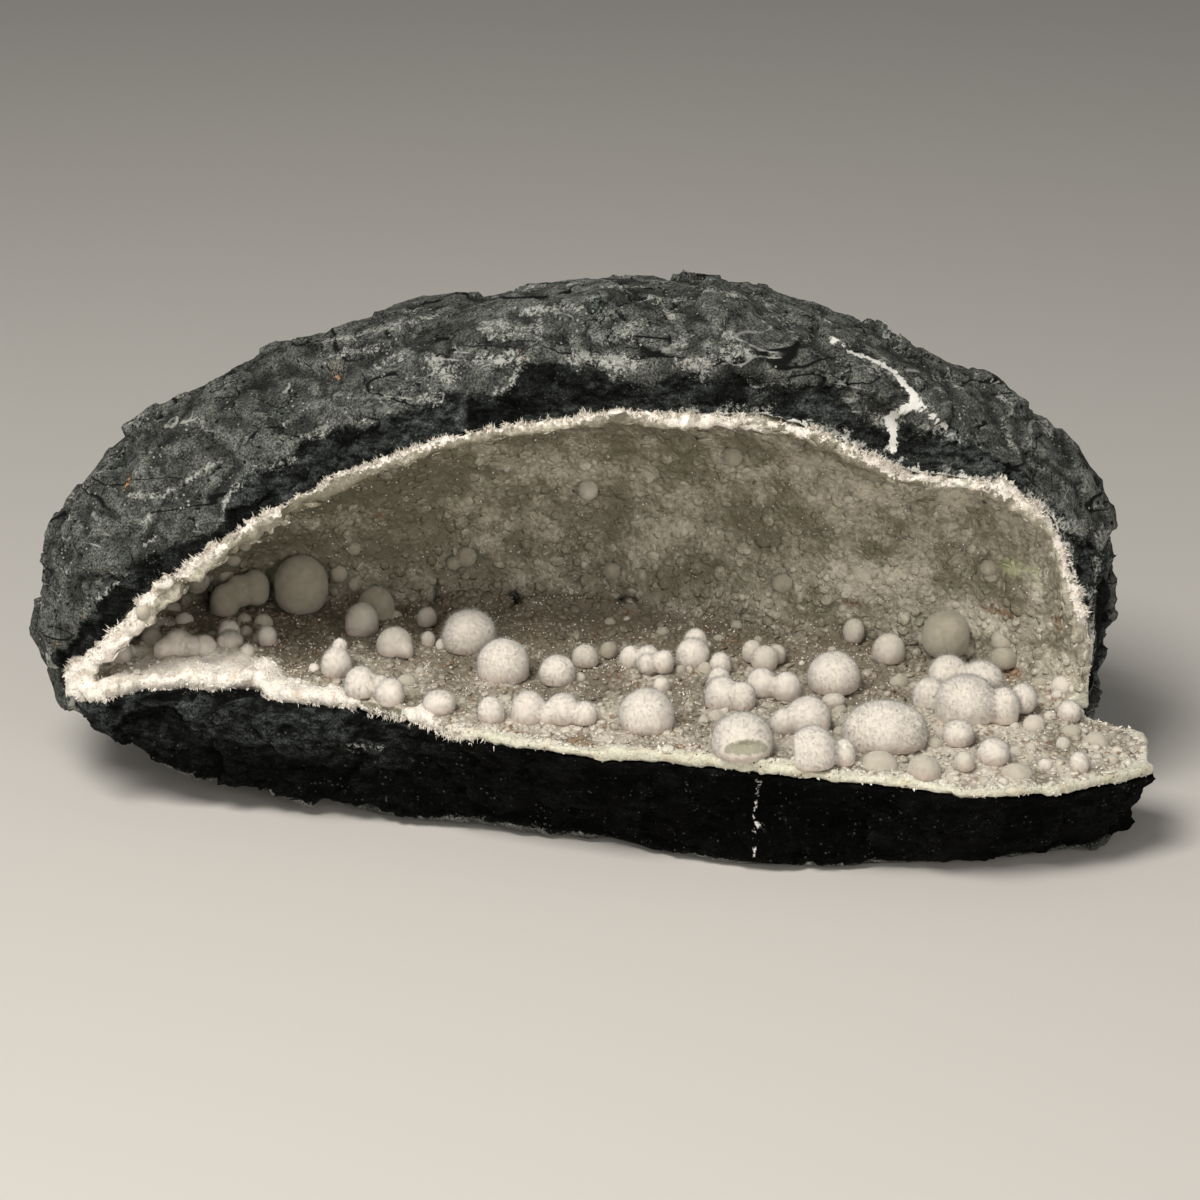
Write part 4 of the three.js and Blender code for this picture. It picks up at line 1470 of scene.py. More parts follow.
    def colours(
        self, skin: Skin, at: np.ndarray, near: np.ndarray, fresh: np.ndarray, above: np.ndarray
    ) -> dict[str, np.ndarray]:
        """The marks that the finish reads.

        Args:
            skin: the chipped rock.
            at: its places before it was chipped.
            near: distance of each to the crust.
            fresh: 1 on the fresh breaks, 0 on the weathered skin.
            above: how far each lies above the break's edge.

        Returns:
            The marks, one number for each vertex.
        """
        # Painted light and shade: how far each place stands out of its hollow, for darker hollows and lighter
        # ridges.
        ridge = ((skin.places - skin.evened(skin.places, 3)) * skin.normals()).sum(axis=1)
        tree = skin.tree()
        local = skin.places - self.studio.shift
        front = local[:, 1] < 0
        high = local[:, 2] > self.floor
        painted_chalk = painted(skin.places, self.chalk, self.studio, tree)
        strewn_chalk = 0.6 * eased(rough(at, 15.0, 3, Salt.CHALK), 0.5, 0.9) * (1 - fresh)
        border = 0.7 * np.exp(-(((above - 1.5) / 2.4) ** 2))
        border = border * eased(relief(at, 12.0, Salt.BORDER), -0.1, 0.35)
        right = eased(local[:, 0], 5, 30) * (local[:, 0] < self.end) * high
        lace = 0.8 * (1 - eased(near, 2.0, 6.5)) * eased(relief(at, 4.0, Salt.LACE), -0.2, 0.4) * right
        width = np.maximum(1.4 + 1.8 * right + (0.8 + right) * relief(at, 3.6, Salt.FRINGE), 0.3)
        fringe = 0.9 * (1 - near / width) * high
        # Painted light: the upper left of the slab's front is lightened like the break round the mouth; the
        # rest of the slab's front is painted in shade.
        corner = 0.75 * (1 - eased(local[:, 0], -90, -20)) * eased(local[:, 2], 16, 34)
        return {
            "fresh": fresh,
            "band": np.maximum(eased(local[:, 2], self.floor - 8, self.floor + 8), corner),
            "facet": self.facets(at, fresh),
            "ridge": np.clip(2.2 * ridge, -1, 1),
            "chalk": highest(painted_chalk, strewn_chalk, border * front, lace * front),
            "vein": np.maximum(
                painted(skin.places, self.veins, self.studio, tree), np.clip(fringe, 0, 0.7) * front
            ),
            "rust": painted(skin.places, self.rust, self.studio, tree),
        }

    def built(self, cad: Skin, crust: BVHTree) -> bpy.types.Object:
        """Builds the rock.

        Args:
            cad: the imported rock.
            crust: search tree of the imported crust, which the rock keeps clear of.

        Returns:
            The piece.
        """
        skin = self.sparse(cad, crust)
        near = reach(crust, skin.places, SEARCH)
        fresh, above = self.break_mark(skin)
        free = eased(near, *self.spared)
        grounded = eased(skin.places[:, 2], 0.3, 5.0)
        skin.places = skin.evened(skin.places, 8, 0.6 * free * grounded)
        at = skin.places.copy()
        skin.places = at + skin.normals() * (self.worn(at, fresh, free) * grounded)[:, None]
        skin.places[:, 2] = np.maximum(skin.places[:, 2], 0.0)
        skin.marks = self.colours(skin, at, near, fresh, above)
        return dressed(skin.piece("basalt_rock"), BasaltFinish().made(), "basalt", "basalt_matrix")


@dataclass(frozen=True)
class BrokenEdge:
    """Where the crust is broken across, each a number for every vertex.

    Attributes:
        behind: 1 behind the crust, where it lies on the rock.
        far: distance to the rock, in millimetres.
        rim: 1 on the broken edge.
        loose: how freely the vertex may be moved.
        lip: 1 on the white strip of the edge that lies along the rock.
    """

    behind: np.ndarray
    far: np.ndarray
    rim: np.ndarray
    loose: np.ndarray
    lip: np.ndarray


@dataclass
class DruzyCrust:
    """The botryoidal crust that lines the hollow and covers the slab.

    Attributes:
        studio: gives the rock's own origin and the lines of sight.
        grid: width of its faces, in millimetres.
        kept: share of the faces that is kept behind it.
        backed: distance within which the rock counts as just behind it.
        lumps: pitch and height of its rounded lumps.
        sheet: thickness of the crust.
        rim_widths: width of its white edge along the mouth: x, and the width there.
        green: greenish spots.
        rust: rusty spots.
        white: strokes of the thick white mass at the hollow's left.
        ledge: strokes of the ledge at the hollow's foot.
        gap: the gaps in that ledge, sunk and painted near-black as shadow.
        skin: the finished crust.
        finish: its finish.
        seen: for each vertex, 0 behind the crust and on its broken edge, 1 elsewhere.
        mass: for each vertex, 1 on the thick white mass.
        beyond: for each vertex, the way to the rock beside it, seen from the front.
        brim: for each vertex, 1 where needles stand on the edge.
    """

    studio: Studio
    grid: float = 1.35
    kept: float = 0.1
    backed: float = 1.4
    lumps: tuple[tuple[float, float], ...] = ((19.0, 1.2), (8.0, 1.5), (3.6, 0.8))
    sheet: float = 4.2
    rim_widths: tuple[tuple[float, float], ...] = (
        (-170, 2.9), (-120, 2.3), (-90, 1.8), (10, 1.6), (25, 2.4), (90, 2.7), (130, 3.3), (165, 2.6),
    )  # fmt: skip
    skin: Skin | None = None
    finish: bpy.types.Material | None = None
    seen: np.ndarray | None = None
    mass: np.ndarray | None = None
    beyond: np.ndarray | None = None
    brim: np.ndarray | None = None
    green: tuple[Mark, ...] = strokes(
        (3.2, 1.0, 1005, 566, 1028, 572), (5.0, 0.3, 640, 460, 700, 470),
        (1.8, 0.6, 150, 628, 170, 622, 196, 626), (1.5, 0.5, 285, 607, 330, 615, 380, 610),
    )  # fmt: skip
    rust: tuple[Mark, ...] = strokes(
        (1.6, 1.0, 978, 600, 990, 608), (1.4, 1.0, 1000, 612, 1008, 617), (1.3, 1.0, 1054, 620, 1058, 632),
        (1.8, 1.0, 1003, 666, 1016, 672), (1.4, 0.8, 845, 600, 858, 604), (1.2, 0.7, 840, 570),
        (1.0, 0.9, 375, 516, 384, 516), (1.4, 0.7, 150, 660, 165, 668), (1.0, 0.9, 700, 735, 702, 742),
        (2.4, 0.8, 508, 728, 535, 736, 565, 738, 596, 742), (1.4, 0.8, 676, 742, 684, 750),
        (1.2, 0.7, 445, 708, 452, 712), (1.6, 0.7, 1000, 690, 1040, 684, 1060, 700),
    )  # fmt: skip
    white: tuple[Mark, ...] = strokes(
        (3.6, 1.0, 72, 690, 90, 690, 120, 684, 160, 680, 200, 672, 232, 668),
        (3.4, 1.0, 232, 668, 262, 680, 290, 690, 318, 700, 352, 706, 384, 716, 420, 722),
        (1.8, 0.8, 110, 664, 130, 655, 150, 640), (1.8, 0.9, 85, 676, 100, 660),
        (4.2, 1.0, 150, 648, 175, 644, 205, 646, 238, 656, 262, 668),
        (4.2, 1.0, 150, 664, 190, 662, 225, 664, 255, 676, 290, 690),
        (2.6, 0.9, 290, 682, 320, 694, 350, 703), (3.2, 0.7, 112, 648, 128, 636, 148, 626, 172, 618),
        (1.2, 0.6, 655, 416, 690, 424, 740, 428, 800, 436),
    )  # fmt: skip
    ledge: tuple[Mark, ...] = strokes(
        (2.2, 1.0, 446, 603, 478, 598, 505, 602), (2.0, 0.9, 527, 606, 560, 602, 600, 606, 632, 610),
        (1.6, 0.6, 700, 612, 760, 620, 800, 636),
    )  # fmt: skip
    gap: tuple[Mark, ...] = strokes(
        (0.8, 1.0, 436, 590, 438, 598), (1.0, 1.0, 512, 594, 518, 602), (0.7, 1.0, 209, 596, 213, 602),
        (0.6, 1.0, 620, 598, 636, 599), (0.4, 1.0, 740, 612, 742, 614),
    )  # fmt: skip

    def rim_of(self, skin: Skin) -> np.ndarray:
        """Where the crust is broken across, found by how deep the body is below each spot.

        Args:
            skin: the even crust.

        Returns:
            1 on the broken edge and 0 elsewhere, for each vertex.
        """
        tree = skin.tree()
        deep = []
        for place, out in zip(skin.places, skin.normals()):
            start = place - 0.3 * out
            hit = tree.ray_cast(start.tolist(), (-out).tolist(), SEARCH)[3]
            deep.append(SEARCH if hit is None else hit)
        return skin.evened((np.array(deep) > 2.4 * self.sheet).astype(float), 2)

    def edge_of(self, skin: Skin, basalt: BVHTree) -> BrokenEdge:
        """Finds the broken edge.

        Args:
            skin: the even crust.
            basalt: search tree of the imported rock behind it.

        Returns:
            The edge.
        """
        behind = skin.evened(covered(basalt, skin, self.backed), 1)
        at_mouth = 1 - eased(skin.places[:, 1] - self.studio.shift[1], -12, -4)
        far = reach(basalt, skin.places, 6.0)
        ahead = ((skin.normals()[:, 1] < -0.72) & (far < 3.2)).astype(float)
        rim = np.maximum(self.rim_of(skin), skin.evened(ahead, 1)) * (1 - behind) * at_mouth
        loose = np.maximum(1 - behind, 0.8 * eased(skin.evened(rim, 3), 0.1, 0.3))
        across, widths = np.array(self.rim_widths, float).T
        width = np.interp(skin.places[:, 0] - self.studio.shift[0], across, widths)
        width = width * (1 + 0.35 * rough(skin.places, 6.0, 3, Salt.EDGE_WIDTH))
        lip = eased(skin.evened(rim, 4), 0.06, 0.25) * eased(width - far, -0.7, 0.7)
        return BrokenEdge(behind, far, rim, loose, lip)

    def front_edge(self, at: np.ndarray) -> np.ndarray:
        """1 for the places along the slab's front, 0 for the others."""
        local = at - self.studio.shift
        return eased(local[:, 0], -62, -30) * eased(-local[:, 2], -50, -46)

    def domes(self, at: np.ndarray) -> np.ndarray:
        """How far its rounded lumps raise each place, in millimetres."""
        layers = enumerate(self.lumps)
        return sum(tall * (Cells.at(at, pitch, Salt.DOMES + n).domed() - 0.5) for n, (pitch, tall) in layers)

    def moved(
        self, skin: Skin, edge: BrokenEdge, plain: dict[str, np.ndarray], basalt: BVHTree
    ) -> np.ndarray:
        """Raises its lumps, roughens its broken edge and spreads that edge over the rock.

        Args:
            skin: the even crust.
            edge: its broken edge.
            plain: how plainly the white mass, the ledge and the gaps show.
            basalt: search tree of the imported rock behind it.

        Returns:
            The new places.
        """
        at = skin.places
        local = at - self.studio.shift
        front = self.front_edge(at)
        even = eased(local[:, 0], -105, -90) * eased(-local[:, 0], -20, -5) * (1 - front)
        torn = np.maximum(edge.rim, edge.loose * edge.behind) * (1 - 0.6 * front) * (1 - 0.5 * even)
        jagged = 1.3 * rough(at, 2.8, 2, Salt.JAGS) + 1.0 * relief(at, 7.0, Salt.WIDE_JAGS)
        lumpy = 2.1 * rough(at, 4.6, 3, Salt.LUMPS) + 2.5 * Cells.at(at, 8.0, Salt.LUMPS + 1).domed()
        mass = plain["white"] * (0.6 + lumpy)
        raised = 3.2 * eased(plain["ledge"], 0.1, 0.7) - 2.5 * plain["gap"]
        left = 1 - eased(local[:, 0], -100, -80)
        left = left * eased(local[:, 2], 46, 50) * (1 - eased(local[:, 1], -15, 5))
        swollen = Cells.at(at, 7.0, Salt.LEFT_LUMPS).domed() - 0.35
        raised = raised + 3.4 * left * swollen * (1 - 0.7 * edge.lip)
        height = (self.domes(at) * (1 - edge.rim) + jagged * torn + mass + raised) * edge.loose
        aside = np.stack([rough(at, 3.0, 2, Salt.ASIDE + n) for n in range(3)], 1) * [1.3, 0.8, 1.3]
        aside += np.stack([relief(at, 9.0, Salt.WIDE_ASIDE + n) for n in range(3)], 1) * [1.2, 0.5, 1.2]
        self.beyond = beside(basalt, at, edge.far, 3.0)
        flare = eased(skin.evened(edge.rim, 3), 0.1, 0.3)
        flare = flare * (1 - eased(edge.far, 0.8, 2.4)) * (1 - 0.5 * front)
        spread = flare * (1.3 + 1.5 * rough(at, 2.8, 2, Salt.SPREAD))
        places = at + skin.normals() * height[:, None] + aside * (torn * edge.loose)[:, None]
        return places + self.beyond * spread[:, None]

    def colours(
        self, skin: Skin, at: np.ndarray, edge: BrokenEdge, plain: dict[str, np.ndarray], tree: BVHTree
    ) -> dict[str, np.ndarray]:
        """The marks that the finishes of the crust and its grains read.

        Args:
            skin: the finished crust.
            at: its places before it was roughened.
            edge: its broken edge.
            plain: how plainly the white mass, the ledge and the gaps show.
            tree: search tree of the crust before it was roughened.

        Returns:
            The marks, one number for each vertex.
        """
        start, local = at - self.studio.shift, skin.places - self.studio.shift
        level = eased(skin.normals()[:, 2], 0.25, 0.7) * eased(-local[:, 2], -62, -50)
        # Painted light and shade in the tone: darker at the back of the floor and on the wall's left, lighter
        # in the left corner, on the right and at the front of the floor.
        corner = (1 - eased(start[:, 0], -122, -104)) * (1 - eased(start[:, 1], -4, 14))
        painted_shade = eased(local[:, 1], -40, 15) * level + 0.8 * (1 - eased(local[:, 0], -120, 20)) * (1 - level)
        painted_shade = painted_shade * (1 - corner) - 0.7 * corner
        bright = eased(local[:, 0], 40, 110) * (1 - 0.5 * level)
        lit = eased(-local[:, 1], 35, 75) * level
        uneven = 0.38 + 0.4 * rough(at, 11.0, 3, Salt.TONE) + 0.16 * (self.domes(at) + 0.3)
        cream = eased(skin.evened(edge.rim, 9), 0.03, 0.3) * self.front_edge(at)
        worn = np.clip(0.22 - 0.6 * rough(at, 3.5, 2, Salt.WORN), 0, 0.7)
        lip = edge.lip * (1 - worn * eased(local[:, 2], 44, 56))
        white = highest(lip, cream, 0.95 * eased(plain["white"], 0.1, 0.6))
        stains = 0.6 * (eased(rough(at, 6.0, 3, Salt.STAINS), 0.3, 0.8) * (0.15 + 0.85 * level))
        return {
            "rim": white,
            "floor": skin.evened(level, 3),
            "tone": uneven - 0.45 * painted_shade + 0.12 * bright + 0.22 * lit,
            "rust": np.maximum(painted(at, self.rust, self.studio, tree), stains) * (1 - 0.6 * white),
            "green": painted(at, self.green, self.studio, tree),
            "cream": cream,
            # Painted shadow in the gaps.
            "gap": eased(plain["gap"], 0.25, 0.6),
        }

    def built(self, cad: Skin, basalt: BVHTree) -> bpy.types.Object:
        """Builds the crust.

        Args:
            cad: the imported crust.
            basalt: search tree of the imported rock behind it.

        Returns:
            The piece.
        """
        skin = cad.remeshed(self.grid)
        log.info("crust grid: %d triangles", len(skin.faces))
        hidden = skin.evened(covered(basalt, skin, self.backed), 1)
        skin = skin.thinned((hidden > 0.9).astype(float), self.kept)
        edge = self.edge_of(skin, basalt)
        skin.places = skin.evened(skin.places, 3, 0.5 * (1 - edge.behind))
        at, tree = skin.places.copy(), skin.tree()
        plain = {
            name: painted(at, marks, self.studio, tree) * (1 - edge.behind)
            for name, marks in (("white", self.white), ("ledge", self.ledge), ("gap", self.gap))
        }
        skin.places = self.moved(skin, edge, plain, basalt)
        skin.marks = self.colours(skin, at, edge, plain, tree)
        local = skin.places - self.studio.shift
        brink = eased(skin.evened(edge.rim, 4), 0.08, 0.35)
        upright = eased(local[:, 0], 140, 148) * eased(local[:, 2], 36, 40)
        upright = np.maximum(1 - self.front_edge(at), upright)
        self.skin = skin
        self.seen = (1 - edge.behind) * (1 - brink) * (1 - skin.marks["gap"])
        self.mass = eased(plain["white"], 0.1, 0.4)
        self.brim = eased(skin.evened(edge.rim, 2), 0.2, 0.5) * (1 - eased(edge.far, 0.9, 1.8)) * upright
        self.finish = CrustFinish().made()
        return dressed(skin.piece("crust"), self.finish, "druse", "druzy_crust")

    def clear_of(self, balls: Sequence["Puffball"]) -> np.ndarray:
        """Where grains may stand.

        Args:
            balls: the puffballs on the crust.

        Returns:
            For each vertex 0 under a puffball, behind the crust and on its broken edge, 1 elsewhere.
        """
        free = self.seen.copy()
        for ball in balls:
            for lobe in ball.lobes:
                free *= eased(lobe.inside(self.skin.places), 0.8, 0.95)
        return free

    def marks_at(self, points: np.ndarray) -> dict[str, np.ndarray]:
        """Reads the crust's marks.

        Args:
            points: points on the crust.

        Returns:
            The marks of the vertex nearest to each.
        """
        tree = KDTree(len(self.skin.places))
        for n, place in enumerate(self.skin.places.tolist()):
            tree.insert(place, n)
        tree.balance()
        near = np.array([tree.find(point)[1] for point in points.tolist()])
        return {name: values[near] for name, values in self.skin.marks.items()}


@dataclass(frozen=True)
class Grains:
    """One sort of rounded grain.

    Attributes:
        name: the piece's name.
        count: how many spots are tried.
        radius: least and largest radius of a grain, in millimetres.
        rise: least and largest height of a grain, as a share of its radius.
    """

    name: str
    count: int
    radius: tuple[float, float]
    rise: tuple[float, float]


@dataclass
class Druse:
    """Rounded grains, tiny crystals, crumbs and needles that stand on the crust.

    Attributes:
        crust: the crust they stand on.
        wall: the grains on the wall.
        floor: the grains on the floor.
        crystals: number of tiny crystals.
        crumbs: number of crumbs.
        needles: number of needles.
        seed: start of the random draws.
    """

    crust: DruzyCrust
    wall: Grains = Grains("wall_grains", 20000, (1.2, 3.9), (0.14, 0.36))
    floor: Grains = Grains("floor_grains", 12000, (0.8, 3.2), (0.3, 0.65))
    crystals: int = 4500
    crumbs: int = 3000
    needles: int = 5500
    seed: int = 5

    def facing(
        self, where: np.ndarray, count: int, lean: float, rng: np.random.Generator
    ) -> tuple[np.ndarray, np.ndarray]:
        """Random spots on the crust, and directions that lean at random from its face.

        Args:
            where: how likely a spot is near each vertex of the crust, from 0 to 1.
            count: how many.
            lean: how far the directions lean.
            rng: source of random numbers.

        Returns:
            The spots and the directions.
        """
        points, way = self.crust.skin.sampled(count, where, rng)
        way = way + lean * rng.normal(size=way.shape)
        return points, way / np.linalg.norm(way, axis=1)[:, None]

    def grains(self, sort: Grains, where: np.ndarray) -> bpy.types.Object:
        """Strews rounded grains that don't overlap by much.

        Args:
            sort: what they are like.
            where: how likely a grain is near each vertex of the crust, from 0 to 1.

        Returns:
            The piece.
        """
        rng = np.random.default_rng(self.seed + len(sort.name))
        points, way = self.facing(where, sort.count, 0.25, rng)
        least, largest = sort.radius
        size = least + (largest - least) * rng.beta(1.3, 3.2, sort.count)
        kept = spaced(points, 1.35 * size)
        points, way, size = points[kept], way[kept], size[kept]
        turns = turned_to(way, rng.uniform(0, FULL_TURN, len(kept)))
        wide = size[:, None] * rng.uniform(0.85, 1.15, (len(kept), 3))
        wide[:, 2] *= rng.uniform(*sort.rise, len(kept))
        marks = self.crust.marks_at(points)
        # The grains take the crust's tone, with its painted light and shade, and add a random tone of their
        # own.
        marks["tone"] = marks["tone"] + rng.uniform(-0.12, 0.2, len(kept))
        grains = strewn(DOME, points - 0.15 * size[:, None] * way, turns, wide, marks)
        return dressed(grains.piece(sort.name), self.crust.finish, "druse")

    def points(self, where: np.ndarray) -> bpy.types.Object:
        """Strews tiny crystals, a quarter of them brown.

        Args:
            where: how likely a crystal is near each vertex of the crust, from 0 to 1.

        Returns:
            The piece.
        """
        count = self.crystals
        rng = np.random.default_rng(self.seed)
        clumps = relief(self.crust.skin.places, 9.0, Salt.CRYSTALS)
        points, way = self.facing(where * (0.2 + 0.8 * eased(clumps, -0.1, 0.5)), count, 0.6, rng)
        size = rng.uniform(0.16, 0.42, (count, 1)) * rng.uniform(0.7, 1.3, (count, 3))
        marks = {"rust": (rng.random(count) < 0.25).astype(float)}
        turns = turned_to(way, rng.uniform(0, FULL_TURN, count))
        crystals = strewn(CRYSTAL, points + 0.7 * way, turns, size, marks)
        return dressed(crystals.piece("quartz_points", smooth=False), QuartzFinish().made(), "druse")

    def shards(self, where: np.ndarray, finish: bpy.types.Material) -> bpy.types.Object:
        """Strews spiky crumbs along the broken white edge.

        Args:
            where: how likely a crumb is near each vertex of the crust, from 0 to 1.
            finish: their finish.

        Returns:
            The piece.
        """
        count = self.crumbs
        rng = np.random.default_rng(self.seed + 1)
        clumps = rough(self.crust.skin.places, 4.5, 2, Salt.CRUMBS)
        points, way = self.facing(where * eased(clumps, -0.4, 0.5), count, 0.7, rng)
        size = 0.16 + 0.7 * rng.random((count, 1)) ** 3
        size = size * rng.uniform([0.4, 0.4, 0.6], [1.0, 1.0, 1.7], (count, 3))
        tone = 0.6 + 0.5 * rough(points, 9.0, 2, Salt.CRUMB_TONE) + rng.uniform(-0.2, 0.3, count)
        turns = turned_to(way, rng.uniform(0, FULL_TURN, count))
        crumbs = strewn(SHARD, points + 0.2 * way, turns, size, {"tone": np.clip(tone, 0, 1)})
        return dressed(crumbs.piece("edge_crumbs", smooth=False), finish, "druse")

    def fringe(self, finish: bpy.types.Material) -> bpy.types.Object:
        """Strews needles that lean from the crust's broken edge over the rock.

        Args:
            finish: their finish.

        Returns:
            The piece.
        """
        count = self.needles
        rng = np.random.default_rng(self.seed + 2)
        skin = self.crust.skin
        clumped = self.crust.brim * eased(rough(skin.places, 3.5, 2, Salt.NEEDLES), -0.6, 0.3)
        spot = rng.choice(len(clumped), count, p=clumped / clumped.sum())
        way = self.crust.beyond[spot] + [0.0, -0.45, 0.0] + 0.5 * rng.normal(size=(count, 3))
        way /= np.linalg.norm(way, axis=1)[:, None]
        wide = rng.uniform(0.12, 0.34, count)
        size = np.stack([wide, wide, 0.5 + 1.9 * rng.random(count) ** 2], 1)
        marks = {"tone": rng.uniform(0.3, 0.85, count)}
        turns = turned_to(way, rng.uniform(0, FULL_TURN, count))
        points = skin.places[spot] + rng.normal(0, 0.3, (count, 3))
        needles = strewn(SPIKE, points, turns, size, marks)
        return dressed(needles.piece("edge_needles", smooth=False), finish, "druse")

    def built(self, balls: Sequence["Puffball"]) -> None:
        """Builds all that stands on the crust.

        Args:
            balls: the puffballs, which it keeps clear of.
        """
        marks = self.crust.skin.marks
        level = marks["floor"]
        clear = self.crust.clear_of(balls) * (1 - eased(marks["rim"], 0.2, 0.6))
        self.grains(self.wall, clear * (1 - level))
        self.grains(self.floor, clear * level)
        self.points(clear * (0.3 + 0.7 * level))
        white = WhiteFinish().made()
        edge = eased(marks["rim"], 0.3, 0.7) * (1 - 0.95 * marks["cream"]) * (1 - 0.85 * self.crust.mass)
        self.shards(edge, white)
        self.fringe(white)


# ---- The puffballs ----


@dataclass(frozen=True)
class Coat:
    """How a puffball's outside looks.

    Attributes:
        hair: length of its hairs, in millimetres.
        dense: hairs on a square millimetre.
        bright: how white it shows, from 0 to 1: its own whiteness, lowered as painted shade for balls that lie
            in shade.
        stain: how grey-green it is, from 0 to 1.
    """

    hair: float = 1.5
    dense: float = 3.0
    bright: float = 1.0
    stain: float = 0.0


class Kind(Enum):
    """The kinds of puffball."""

    FLUFFY = Coat(hair=1.3, dense=3.3)
    SHAGGY = Coat(hair=1.5, dense=3.6)
    # The smooth kind and the darkest kind are less bright partly as painted shade: many of their balls lie at
    # the back, on the wall and on the roof, in shade.
    SMOOTH = Coat(hair=1.0, dense=3.0, bright=0.74)
    DULL_AND_SHADED = Coat(hair=0.8, dense=2.8, bright=0.3)
    GREY = Coat(hair=0.8, dense=2.6, bright=0.55, stain=0.3)


@dataclass(frozen=True)
class Lobe:
    """One ball, in millimetres from the rock's own origin.

    Attributes:
        centre: its middle.
        half: half its width, depth and height.
        foot: height below which it is cut off, inside the crust.
        skirt: how much it is widened at its foot.
    """

    centre: np.ndarray
    half: np.ndarray
    foot: float = -math.inf
    skirt: float = 0.4

    def shell(self, inset: float, fineness: int = 3) -> Skin:
        """Makes the ball's surface.

        Args:
            inset: how far it is drawn in, in millimetres.
            fineness: how many times its faces are split.

        Returns:
            The surface.
        """
        bm = bmesh.new()
        bmesh.ops.create_icosphere(bm, subdivisions=fineness, radius=1.0)
        half = np.maximum(self.half - inset, 0.5)
        places = np.array([v.co for v in bm.verts])
        if math.isfinite(self.foot):
            places[:, :2] *= 1 + self.skirt * np.clip(-places[:, 2:], 0, 1) ** 2
        places = places * half + self.centre
        faces = np.array([[v.index for v in f.verts] for f in bm.faces])
        bm.free()
        places[:, 2] = np.maximum(places[:, 2], self.foot)
        return Skin(places, faces)

    def inside(self, places: np.ndarray) -> np.ndarray:
        """Where each place lies in the ball: 0 at the middle, 1 on its surface."""
        return np.linalg.norm((places - self.centre) / self.half, axis=1)


def combed(
    roots: np.ndarray,
    out: np.ndarray,
    way: np.ndarray,
    size: tuple[np.ndarray, np.ndarray],
    marks: dict[str, np.ndarray],
    rng: np.random.Generator,
) -> Skin:
    """Makes hairs.

    Args:
        roots: where each starts.
        out: the way that the ball faces there, which the light sees on the hair.
        way: which way each points.
        size: half the width and the length of each.
        marks: their marks.
        rng: source of random numbers.

    Returns:
        The hairs in one mesh.
    """
    wide, long = size
    turns = turned_to(way, rng.uniform(0, FULL_TURN, len(roots)))
    hairs = strewn(SPIKE, roots, turns, np.stack([wide, wide, long], 1), marks)
    hairs.facing = np.repeat(out, len(SPIKE.places), axis=0)
    return hairs


